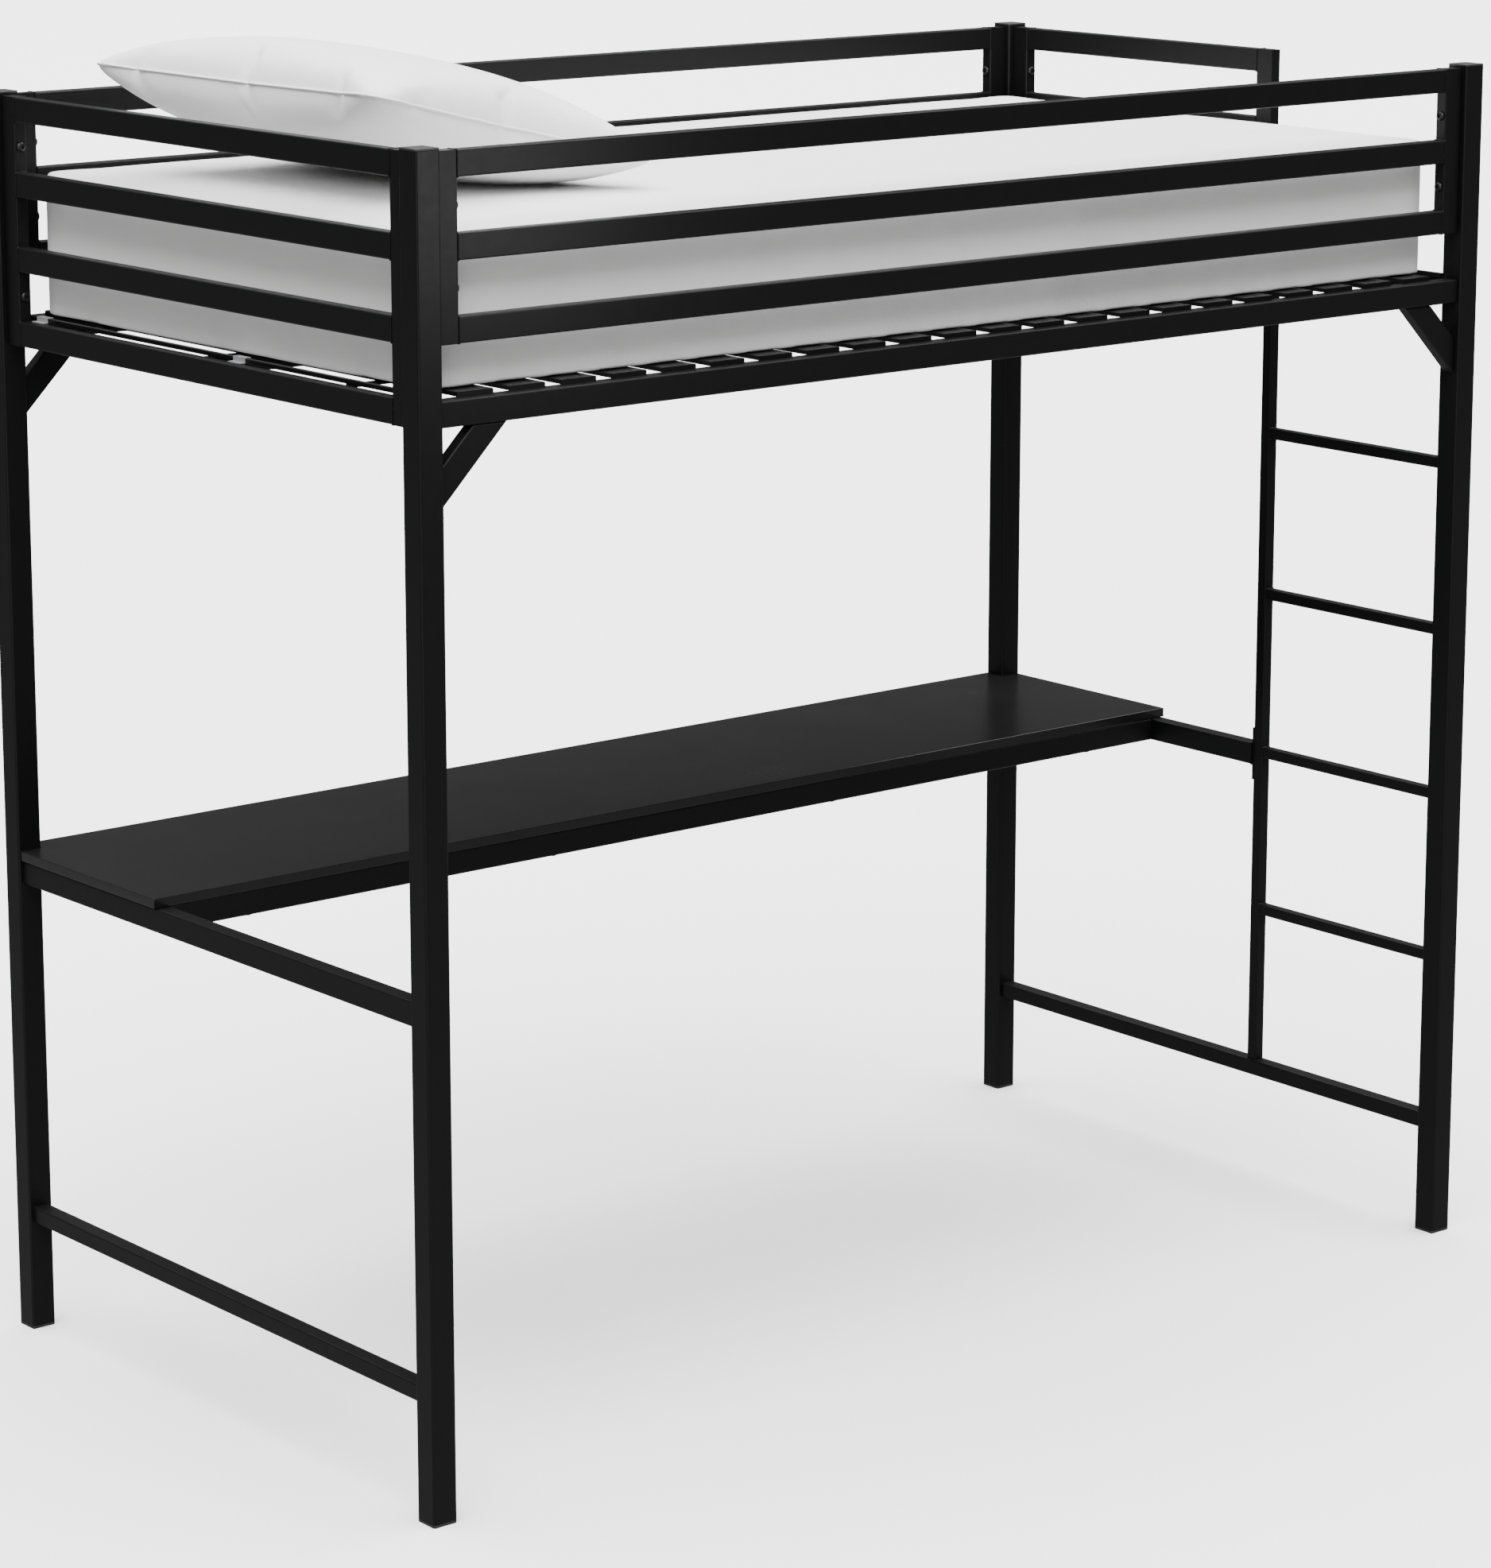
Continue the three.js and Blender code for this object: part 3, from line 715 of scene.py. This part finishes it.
# %% [markdown]
# ## Weld beads
#
# Each rail is welded to its upright all the way round, and under the powder coat the weld
# shows as a thin rippled cord. The loops gathered above become curves, are cut into short
# steps, and swept with a small circle whose radius swings from step to step.

# %% The weld tree
def build_weld_tree():
    tree, source, output = new_tree("weld_bead", [
        ("Step", "NodeSocketFloat"), ("Radius", "NodeSocketFloat"),
        ("Seed", "NodeSocketInt"), ("Material", "NodeSocketMaterial")])
    link = tree.links.new
    path = tree.nodes.new("GeometryNodeMeshToCurve")
    steps = tree.nodes.new("GeometryNodeResampleCurve")
    steps.mode = "LENGTH"
    ripple = tree.nodes.new("FunctionNodeRandomValue")
    ripple.data_type = "FLOAT"
    ripple.inputs["Min"].default_value = 0.7
    ripple.inputs["Max"].default_value = 1.25
    swell = tree.nodes.new("GeometryNodeSetCurveRadius")
    ring = tree.nodes.new("GeometryNodeCurvePrimitiveCircle")
    ring.inputs["Resolution"].default_value = 6
    bead = tree.nodes.new("GeometryNodeCurveToMesh")
    link(source.outputs["Geometry"], path.inputs["Mesh"])
    link(path.outputs["Curve"], steps.inputs["Curve"])
    link(source.outputs["Step"], steps.inputs["Length"])
    link(source.outputs["Seed"], ripple.inputs["Seed"])
    link(steps.outputs["Curve"], swell.inputs["Curve"])
    link(ripple.outputs[1], swell.inputs["Radius"])
    link(source.outputs["Radius"], ring.inputs["Radius"])
    link(swell.outputs["Curve"], bead.inputs["Curve"])
    link(ring.outputs["Curve"], bead.inputs["Profile Curve"])
    if "Scale" in bead.inputs:
        link(ripple.outputs[1], bead.inputs["Scale"])
    finish_tree(tree, source, output, bead.outputs["Mesh"])
    return tree


# %% Lay the beads
for step in (1, 2, 3, 4):
    low, high, axis = node_block(f"ladder_rung_{step}")
    weld_loops.append(section_loop(low, high, axis, high.y))
    weld_loops.append(section_loop(low, high, axis, low.y))

loop_mesh = bpy.data.meshes.new("weld_beads")
loop_points = [tuple(corner) for loop in weld_loops for corner in loop]
loop_edges = [(4 * i + k, 4 * i + (k + 1) % 4) for i in range(len(weld_loops)) for k in range(4)]
loop_mesh.from_pydata(loop_points, loop_edges, [])
welds = add_object("weld_beads", loop_mesh)
grow(welds, build_weld_tree(), Step=2.2 * MM, Radius=1.1 * MM, Seed=4, Material=STEEL)
smooth(welds, 80)
settle(welds, "frame", "black_steel")
print("weld beads:", len(weld_loops), "faces:", len(welds.data.polygons))

# %% [markdown]
# ## Post caps and foot pads
#
# The tops of the posts are closed by flat moulded caps with softened rims, and their bottoms
# stand on pads of the same plastic. Only the plate of each shows, so the plug is left out.

# %% Caps and pads
def shown_plate(node, name, up):
    """The visible plate of a cap or pad: a square block with a rounded outline and rim."""
    low, high = map(Vector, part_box(node))
    post_low, post_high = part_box(node.replace("cap_", "post_").replace("foot_", "post_", 1))
    if up:
        low.z = post_high[Z]
    else:
        high.z = post_low[Z]
    plate = make_tubes(name, [(low, high, Z)], POST_CORNER, PLASTIC)
    round_edges(plate, 0.9 * MM, 3, 60)
    smooth(plate, 50)
    return plate


for corner in CORNERS:
    cap = shown_plate(f"cap_{corner}", f"cap_{corner}_plate", True)
    settle(cap, "frame", "black_plastic", f"cap_{corner}")
    pad = shown_plate(f"foot_{corner}", f"foot_{corner}_pad", False)
    settle(pad, "frame", "black_plastic", f"foot_{corner}")

# %% [markdown]
# ## Slat decks
#
# A slat is a shallow tray folded from sheet. Its channel is extruded along Y from the folded
# outline, a plate closes each end, and a tree repeats it down the bed at the slats' pitch. Two
# straps run under each deck, with a rivet through every slat, out to a flat bar at its end.

# %% The repeating tree
def build_row_tree():
    tree, source, output = new_tree("row_of_pieces", [
        ("Count", "NodeSocketInt"), ("Pitch", "NodeSocketVector"),
        ("Material", "NodeSocketMaterial")])
    line = tree.nodes.new("GeometryNodeMeshLine")
    place = tree.nodes.new("GeometryNodeInstanceOnPoints")
    tree.links.new(source.outputs["Count"], line.inputs["Count"])
    tree.links.new(source.outputs["Pitch"], line.inputs["Offset"])
    tree.links.new(line.outputs["Mesh"], place.inputs["Points"])
    tree.links.new(source.outputs["Geometry"], place.inputs["Instance"])
    finish_tree(tree, source, output, place.outputs["Instances"])
    return tree


ROW_TREE = build_row_tree()

# %% Slats, straps and rivets
SLATS_PER_DECK = 11
SLAT_WIDTH = 57.5 * MM
SLAT_PITCH = 83.5 * MM
SLAT_HEIGHT = 6 * MM
SHEET = 1.2 * MM
STRAP_Y = 330 * MM
STRAP_WIDTH = 25 * MM
END_BAR = 8 * MM
END_BAR_REACH = 486.5 * MM


def channel_outline(left, top):
    """Section of a folded slat in X and Z, with the two upper folds broken by a short face."""
    right, bottom, fold = left + SLAT_WIDTH, top - SLAT_HEIGHT, 1.0 * MM
    return [(left, bottom), (left, top - fold), (left + fold, top), (right - fold, top),
            (right, top - fold), (right, bottom), (right - SHEET, bottom),
            (right - SHEET, top - SHEET), (left + SHEET, top - SHEET), (left + SHEET, bottom)]


def rivet(name, place, radius, height):
    """A low domed head that hangs below a strap."""
    shape = bmesh.new()
    bmesh.ops.create_uvsphere(shape, u_segments=12, v_segments=6, radius=radius)
    bmesh.ops.scale(shape, vec=(1, 1, height / radius), verts=shape.verts)
    bmesh.ops.translate(shape, vec=place, verts=shape.verts)
    mesh = bpy.data.meshes.new(name)
    shape.to_mesh(mesh)
    shape.free()
    return add_object(name, mesh)


def tray(left, top, start, stop):
    """One slat: a channel with a plate across each end."""
    outline = channel_outline(left, top)
    solid = outline[:6]        # the outer points alone, without the channel's hollow
    return join("slat", [
        extruded("channel", outline, Y, start + SHEET, stop - SHEET, STEEL),
        extruded("end_plate", solid, Y, start, start + SHEET, STEEL),
        extruded("end_plate", solid, Y, stop - SHEET, stop, STEEL)])


for end in ("head", "foot"):
    low, high = map(Vector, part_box(f"slat_deck_{end}"))
    pitch = (SLAT_PITCH, 0, 0)
    row = (SLATS_PER_DECK - 1) * SLAT_PITCH + SLAT_WIDTH
    left = high.x - row if end == "head" else low.x
    slat = tray(left, high.z, low.y, high.y)
    parts = [grow(slat, ROW_TREE, Count=SLATS_PER_DECK, Pitch=pitch, Material=STEEL)]
    under = high.z - SLAT_HEIGHT
    for y in (-STRAP_Y, STRAP_Y):
        strap_low = Vector((low.x, y - STRAP_WIDTH / 2, low.z))
        strap_high = Vector((high.x, y + STRAP_WIDTH / 2, under))
        parts.append(make_tubes("strap", [(strap_low, strap_high, X)], 0.5 * MM, STEEL))
        head = rivet("rivet", (left + SLAT_WIDTH / 2, y, low.z), 4 * MM, 1.4 * MM)
        parts.append(grow(head, ROW_TREE, Count=SLATS_PER_DECK, Pitch=pitch, Material=STEEL))
    bar_x = low.x if end == "head" else high.x - END_BAR
    bar = (Vector((bar_x, -END_BAR_REACH, under)),
           Vector((bar_x + END_BAR, END_BAR_REACH, high.z)), Y)
    parts.append(make_tubes("end_bar", [bar], 0.8 * MM, STEEL))
    deck = join(f"slat_deck_{end}_slats", parts)
    smooth(deck, 35)
    settle(deck, "frame", "black_steel", f"slat_deck_{end}")
    print(deck.name, "faces:", len(deck.data.polygons))

# %% [markdown]
# Small grey spring clips hold the head deck's end bar down: a foot on the end rail, a step up
# and a lip over the bar.

# %% Deck clips
CLIP_FOOT = 10 * MM
CLIP_LIP = 9 * MM
CLIP_SHEET = 1.5 * MM
CLIP_HALF = 14 * MM
CLIP_PLACES = (-0.47, -0.07, 0.43)


def deck_clip(name, x, y, foot, top):
    """A folded strip that starts at x, with its foot at one height and its lip at another."""
    sheet = CLIP_SHEET
    step = x + CLIP_FOOT
    outline = [(x, foot), (x, foot + sheet), (step - sheet, foot + sheet),
               (step - sheet, top + sheet), (step + CLIP_LIP, top + sheet),
               (step + CLIP_LIP, top), (step, top), (step, foot)]
    clip = extruded(name, outline, Y, y - CLIP_HALF, y + CLIP_HALF, CLIP)
    round_edges(clip, 0.4 * MM, 2)
    smooth(clip)
    return clip


deck_low, deck_high = map(Vector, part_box("slat_deck_head"))
end_rail_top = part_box("side_rail_front")[1][Z]
for label, y in zip(("front", "centre", "back"), CLIP_PLACES):
    clip = deck_clip(f"deck_clip_{label}", deck_low.x - CLIP_FOOT, y, end_rail_top, deck_high.z)
    settle(clip, "frame", "bolt_steel")
print("deck clips:", len(CLIP_PLACES))

# %% [markdown]
# ## Bolts and screws
#
# One button-head bolt is turned as a profile and given its hex socket, and a tree puts a copy
# on every point of a cloud, turned by the point's own attribute. The two guard bolts of each
# upright, and the desk's screws, are all made this way.

# %% One fastener
def button_head(name, radius, height, socket):
    """A domed head that points along -Z, with its seat at z = 0 and a hex socket."""
    shape = bmesh.new()
    steps = 7
    profile = [(radius, 0.0), (radius, 0.22 * height)]
    for i in range(1, steps):
        turn = math.pi / 2 * i / steps
        profile.append((radius * (0.42 + 0.58 * math.cos(turn)),
                        height * (0.22 + 0.78 * math.sin(turn))))
    sides = 24
    rings = [[shape.verts.new((r * math.cos(math.tau * k / sides),
                               r * math.sin(math.tau * k / sides), -h)) for k in range(sides)]
             for r, h in profile]

    def hexagon(level):
        """A ring of as many points as the head has, drawn round a hexagon."""
        ring = []
        for k in range(sides):
            angle = math.tau * k / sides
            flat = (angle + math.pi / 6) % (math.pi / 3) - math.pi / 6
            r = socket * math.cos(math.pi / 6) / math.cos(flat)
            ring.append(shape.verts.new((r * math.cos(angle), r * math.sin(angle), level)))
        return ring

    rings.append(hexagon(-height))
    rings.append(hexagon(-height * 0.35))
    for one, two in zip(rings, rings[1:]):
        for k in range(sides):
            n = (k + 1) % sides
            shape.faces.new((one[k], one[n], two[n], two[k]))
    shape.faces.new(rings[0])
    shape.faces.new(rings[-1])
    bmesh.ops.recalc_face_normals(shape, faces=shape.faces)
    mesh = bpy.data.meshes.new(name)
    shape.to_mesh(mesh)
    shape.free()
    return add_object(name, mesh)


# %% The scattering tree
def build_fastener_tree():
    tree, source, output = new_tree("fasteners", [
        ("Piece", "NodeSocketObject"), ("Material", "NodeSocketMaterial")])
    piece = tree.nodes.new("GeometryNodeObjectInfo")
    tree.links.new(source.outputs["Piece"], piece.inputs["Object"])
    place = turned_instances(tree, source.outputs["Geometry"], piece.outputs["Geometry"])
    finish_tree(tree, source, output, place.outputs["Instances"])
    return tree


FASTENER_TREE = build_fastener_tree()


def fasteners(name, seats, head, nodes=()):
    """Copies of one head. seats holds each one's place and the direction it is driven in."""
    points = [place for place, _ in seats]
    turns = [Vector(inwards).to_track_quat("Z", "Y").to_euler() for _, inwards in seats]
    cloud = point_cloud(name, points, turns)
    grow(cloud, FASTENER_TREE, Piece=head, Material=BOLT)
    smooth(cloud, 30)
    settle(cloud, "frame", "bolt_steel", *nodes)
    print(name, len(seats), "faces:", len(cloud.data.polygons))


# %% Guard bolts
BOLT_HEAD = {"radius": 7 * MM, "height": 4.2 * MM, "socket": 3 * MM}
bolt_nodes = sorted(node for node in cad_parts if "_bolt_" in node)
bolt_seats = []
for node in bolt_nodes:
    low, high = map(Vector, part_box(node))
    axis = X if node.startswith("side") else Y
    outer = "foot" in node if axis == X else "back" in node
    inwards = Vector((0, 0, 0))
    inwards[axis] = 1 if outer else -1
    seat = (low + high) / 2
    seat[axis] = (low if outer else high)[axis] + inwards[axis] * BOLT_HEAD["height"]
    bolt_seats.append((seat, inwards))
head = button_head("head", **BOLT_HEAD)
fasteners("guard_bolts", bolt_seats, head, bolt_nodes)
bpy.data.objects.remove(head)

# %% Desk screws
SCREW_HEAD = {"radius": 6 * MM, "height": 3.2 * MM, "socket": 2.4 * MM}
SCREW_SPACING = 545 * MM
rail_low, rail_high = map(Vector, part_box("desk_rail_front"))
screw_y = (rail_low.y + rail_high.y) / 2
screw_seats = [(Vector((SCREW_SPACING * (i - 1.5), screw_y, rail_low.z)), Vector((0, 0, 1)))
               for i in range(4)]
head = button_head("head", **SCREW_HEAD)
fasteners("desk_screws", screw_seats, head)
bpy.data.objects.remove(head)

# %% [markdown]
# ## Desk board
#
# The board is 14.5 mm particle board with a black melamine face and edge band. It is notched
# round the two back posts. Its edges are only slightly eased, which leaves the thin light
# line along its front edge.

# %% Desk board
low, high = map(Vector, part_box("desk_board"))
post_low, post_high = map(Vector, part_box("post_back_foot"))
notch_x = post_low.x - 0.4 * MM
notch_y = post_low.y - 0.4 * MM
board_outline = [
    (low.x, low.y), (high.x, low.y), (high.x, notch_y), (notch_x, notch_y),
    (notch_x, high.y), (-notch_x, high.y), (-notch_x, notch_y), (low.x, notch_y)]
board = extruded("desk_board_panel", board_outline, Z, low.z, high.z, LAMINATE)
round_edges(board, 1.1 * MM, 3)
smooth(board)
settle(board, "frame", "desk_laminate", "desk_board")

# %% [markdown]
# ## Soft pieces by cloth simulation
#
# A cover pulled tight over foam, or a case full of filling, takes its shape from pressure
# against the cloth. Blender's Cloth does the same: the mesh is the cloth, a pressure pushes
# it out, and after a few frames the result is applied as plain mesh.

# %% Cloth helper
def inflate(obj, pressure, frames, stiffness, bending, shrink=0.0):
    """Runs Cloth with pressure and no gravity, and keeps the last frame's shape."""
    cloth = obj.modifiers.new("Cloth", "CLOTH")
    settings = cloth.settings
    settings.quality = 6
    settings.mass = 0.2
    settings.air_damping = 4
    settings.tension_stiffness = stiffness
    settings.compression_stiffness = stiffness / 2
    settings.shear_stiffness = stiffness / 2
    settings.bending_stiffness = bending
    settings.use_pressure = True
    settings.uniform_pressure_force = pressure
    settings.shrink_min = shrink
    settings.effector_weights.gravity = 0
    cloth.point_cache.frame_start = 1
    cloth.point_cache.frame_end = frames
    scene = bpy.context.scene
    for number in range(1, frames + 1):
        scene.frame_set(number)
    evaluated = obj.evaluated_get(bpy.context.evaluated_depsgraph_get())
    shape = bpy.data.meshes.new_from_object(evaluated)
    obj.modifiers.remove(cloth)
    obj.data = shape
    scene.frame_set(1)


def coordinates(mesh):
    points = np.empty(len(mesh.vertices) * 3)
    mesh.vertices.foreach_get("co", points)
    return points.reshape(-1, 3)


def set_coordinates(mesh, points):
    mesh.vertices.foreach_set("co", np.ascontiguousarray(points).ravel())
    mesh.update()


def subdivide(obj, levels=1):
    modifier = obj.modifiers.new("Subdivision", "SUBSURF")
    modifier.levels = modifier.render_levels = levels
    evaluated = obj.evaluated_get(bpy.context.evaluated_depsgraph_get())
    shape = bpy.data.meshes.new_from_object(evaluated)
    obj.modifiers.remove(modifier)
    obj.data = shape


# %% [markdown]
# ### Mattress
#
# The mattress is a firm foam block in a knitted cover. A remesh would spend its squares evenly
# and blur the edges, so the block is a grid of its own: wide squares on the flats, and narrow
# ones where the upper and lower edges turn. It starts a few millimetres small and swells. The
# lower edge is the sharper one, because the block's own weight presses it on to the slats.

# %% A grid that is dense at its ends
LOWER_EDGE = 0.35              # the lower edge's radius as a part of the upper's


def graded(half, edge, corner, step):
    """Places from -half to half, close together at each end and a step apart between them."""
    ends = [half - edge * i / 4 for i in range(5)]
    ends += [half - edge - (corner - edge) * i / 2 for i in (1, 2)]
    inner = half - corner
    count = max(2, round(2 * inner / step))
    middle = [-inner + 2 * inner * i / count for i in range(1, count)]
    return sorted([-v for v in ends] + middle + ends)


def rounded_block(name, half, edge, corner, step, material):
    """A block centred on the origin with softened edges and round upright corners."""
    axes = [graded(half.x, edge, corner, step), graded(half.y, edge, corner, step),
            graded(half.z, edge, edge + 1 * MM, step)]
    counts = [len(axis) - 1 for axis in axes]
    index, places, faces = {}, [], []

    def vertex(key):
        if key not in index:
            index[key] = len(places)
            places.append(round_corner([axes[i][key[i]] for i in range(3)], half, edge, corner))
        return index[key]

    for flat in range(3):
        a, b = (flat + 1) % 3, (flat + 2) % 3
        for end in (0, counts[flat]):
            for i in range(counts[a]):
                for j in range(counts[b]):
                    quad = []
                    for da, db in ((0, 0), (1, 0), (1, 1), (0, 1)):
                        key = [0, 0, 0]
                        key[flat], key[a], key[b] = end, i + da, j + db
                        quad.append(vertex(tuple(key)))
                    faces.append(quad if end else quad[::-1])
    mesh = bpy.data.meshes.new(name)
    mesh.from_pydata(places, [], faces)
    mesh.materials.append(material)
    return add_object(name, mesh)


def round_upright(x, y, half_x, half_y, corner):
    """Moves a point of a square corner, seen from above, on to a round one."""
    u = (abs(x) - (half_x - corner)) / corner
    v = (abs(y) - (half_y - corner)) / corner
    if u > 0 and v > 0:
        x = math.copysign(half_x - corner + corner * u * math.sqrt(1 - v * v / 2), x)
        y = math.copysign(half_y - corner + corner * v * math.sqrt(1 - u * u / 2), y)
    return x, y


def round_corner(place, half, edge, corner):
    """Moves a point of the square block on to the rounded one."""
    x, y, z = place
    inside = min(half.x - abs(x), half.y - abs(y))
    below = half.z - abs(z)
    if inside < edge and below < edge:
        # On a turning edge: the side and the level face each take half of the quarter turn.
        share = (1 + inside / edge) if below < 1e-6 else (1 - below / edge)
        angle = math.pi / 4 * share
        reach = edge * (LOWER_EDGE if z < 0 else 1)
        pulled = reach * (1 - math.cos(angle))
        z = math.copysign(half.z - reach * (1 - math.sin(angle)), z)
        x *= (half.x - pulled) / (half.x - inside)
        y *= (half.y - pulled) / (half.y - inside)
    x, y = round_upright(x, y, half.x, half.y, corner)
    return x, y, z


# %% Mattress
MATTRESS_INSET = Vector((4, 4, 1)) * MM
MATTRESS_EDGE = 16 * MM
MATTRESS_CORNER = 45 * MM
MATTRESS_STEP = 22 * MM
MATTRESS_CAP = 4.5 * MM

mattress_low, mattress_high = map(Vector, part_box("mattress"))
middle = (mattress_low + mattress_high) / 2
half = (mattress_high - mattress_low) / 2 - MATTRESS_INSET
mattress = rounded_block("mattress_cover", half, MATTRESS_EDGE, MATTRESS_CORNER,
                         MATTRESS_STEP, KNIT)
mattress.data.transform(Matrix.Translation(middle))
before = coordinates(mattress.data)
inflate(mattress, pressure=3, frames=14, stiffness=25, bending=2)
moved = coordinates(mattress.data) - before
length = np.linalg.norm(moved, axis=1, keepdims=True)
capped = before + moved * np.minimum(1, MATTRESS_CAP / np.maximum(length, 1e-9))
capped[:, 2] = np.maximum(capped[:, 2], mattress_low.z + 0.2 * MM)
set_coordinates(mattress.data, capped)
subdivide(mattress)
mattress.data.shade_smooth()
settle(mattress, "mattress", "mattress_cloth", "mattress")
print("mattress faces:", len(mattress.data.polygons), "swell:", round(float(length.max()), 4))

# %% [markdown]
# ### Pillow
#
# A pillow case is two layers of cloth sewn together round the rim, with blunt corners. It
# starts already plump, full in the middle and thinning to nothing at the seam, and pressure
# then lets the cloth settle: the sides pull in a little and the seam puckers.

# %% Pillow case
CASE_LENGTH = 0.655
CASE_WIDTH = 0.51
CASE_STEP = 9 * MM
CASE_CORNER = 45 * MM
CASE_THICK = 0.185
CASE_WAIST = 0.05              # how far the sides draw in, as a part of the half width
CASE_FULLNESS = 2.5            # a higher power keeps it thick nearer to the seam


def case_outline(x, y, width, length):
    """Rounds the case's corners and draws its sides in towards their middles."""
    x, y = round_upright(x, y, width / 2, length / 2, CASE_CORNER)
    across, along = 2 * x / width, 2 * y / length
    return x * (1 - CASE_WAIST * (1 - along ** 2)), y * (1 - CASE_WAIST * (1 - across ** 2))


def plump_case(name, width, length, step, material):
    """Two layers of square mesh that share their rim and bulge apart between."""
    nx, ny = round(width / step), round(length / step)
    xs = np.linspace(-width / 2, width / 2, nx + 1)
    ys = np.linspace(-length / 2, length / 2, ny + 1)
    points, upper, lower = [], {}, {}
    for side, table in ((1, upper), (-1, lower)):
        for i, x in enumerate(xs):
            for j, y in enumerate(ys):
                rim = i in (0, nx) or j in (0, ny)
                if rim and side < 0:
                    table[i, j] = upper[i, j]
                    continue
                across = 1 - abs(2 * x / width) ** CASE_FULLNESS
                along = 1 - abs(2 * y / length) ** CASE_FULLNESS
                lift = math.sqrt(max(0.0, across * along))
                table[i, j] = len(points)
                px, py = case_outline(x, y, width, length)
                points.append((px, py, side * CASE_THICK / 2 * lift))
    faces = []
    for i in range(nx):
        for j in range(ny):
            quad = ((i, j), (i + 1, j), (i + 1, j + 1), (i, j + 1))
            faces.append([upper[k] for k in quad])
            faces.append([lower[k] for k in reversed(quad)])
    rim = [upper[i, 0] for i in range(nx)] + [upper[nx, j] for j in range(ny)]
    rim += [upper[i, ny] for i in range(nx, 0, -1)] + [upper[0, j] for j in range(ny, 0, -1)]
    mesh = bpy.data.meshes.new(name)
    mesh.from_pydata(points, [], faces)
    mesh.materials.append(material)
    return add_object(name, mesh), rim


pillow, rim = plump_case("pillow_cover", CASE_WIDTH, CASE_LENGTH, CASE_STEP, COTTON)
inflate(pillow, pressure=4, frames=10, stiffness=18, bending=0.3)
shape = coordinates(pillow.data)
print("pillow after filling:", np.ptp(shape, axis=0).round(3))

# %% [markdown]
# The filled case is brought to the pillow's measured size, tilted so that its outer side lies
# higher, and lowered until it sinks a few millimetres. The part below the mattress's surface is
# flattened on to it, as the pillow's weight would do.

# %% Lay the pillow down
PILLOW_SIZE = np.array((0.495, 0.67, 0.165))
PILLOW_SHIFT = np.array((0.0, -12 * MM, 0.0))
PILLOW_TILT = math.radians(13.5)
PILLOW_TURN = math.radians(1.3)
PILLOW_SINK = 5 * MM
PILLOW_CLEARANCE = 0.8 * MM

low, high = map(Vector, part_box("pillow"))
span = np.ptp(shape, axis=0)
shape = (shape - (shape.max(axis=0) + shape.min(axis=0)) / 2) * (PILLOW_SIZE / span)
turn = np.array((Matrix.Rotation(PILLOW_TURN, 3, "Z") @ Matrix.Rotation(PILLOW_TILT, 3, "Y")))
shape = shape @ turn.T + np.array((low + high) / 2) + PILLOW_SHIFT
rest = mattress_high.z + PILLOW_CLEARANCE
shape[:, 2] += rest - shape[:, 2].min() - PILLOW_SINK
shape[:, 2] = np.maximum(shape[:, 2], rest)
set_coordinates(pillow.data, shape)
rim_points = shape[rim]
subdivide(pillow)
pillow.data.shade_smooth()
settle(pillow, "pillow", "pillow_cloth", "pillow")
print("pillow faces:", len(pillow.data.polygons), "top:", round(float(shape[:, 2].max()), 3))

# %% [markdown]
# The seam itself is a narrow corded edge. It is swept along the rim points kept from before
# the subdivision, so it follows every pucker.

# %% Pillow seam
seam_curve = bpy.data.curves.new("pillow_seam", "CURVE")
seam_curve.dimensions = "3D"
seam_curve.bevel_depth = 1.7 * MM
seam_curve.bevel_resolution = 2
spline = seam_curve.splines.new("POLY")
spline.points.add(len(rim_points) - 1)
for point, place in zip(spline.points, rim_points):
    point.co = (*place, 1)
spline.use_cyclic_u = True
seam_path = add_object("pillow_seam_path", seam_curve)
evaluated = seam_path.evaluated_get(bpy.context.evaluated_depsgraph_get())
seam = add_object("pillow_seam", bpy.data.meshes.new_from_object(evaluated))
bpy.data.objects.remove(seam_path)
seam.data.materials.clear()
seam.data.materials.append(COTTON)
seam.data.shade_smooth()
settle(seam, "pillow", "pillow_cloth")
print("seam points:", len(rim_points), "faces:", len(seam.data.polygons))
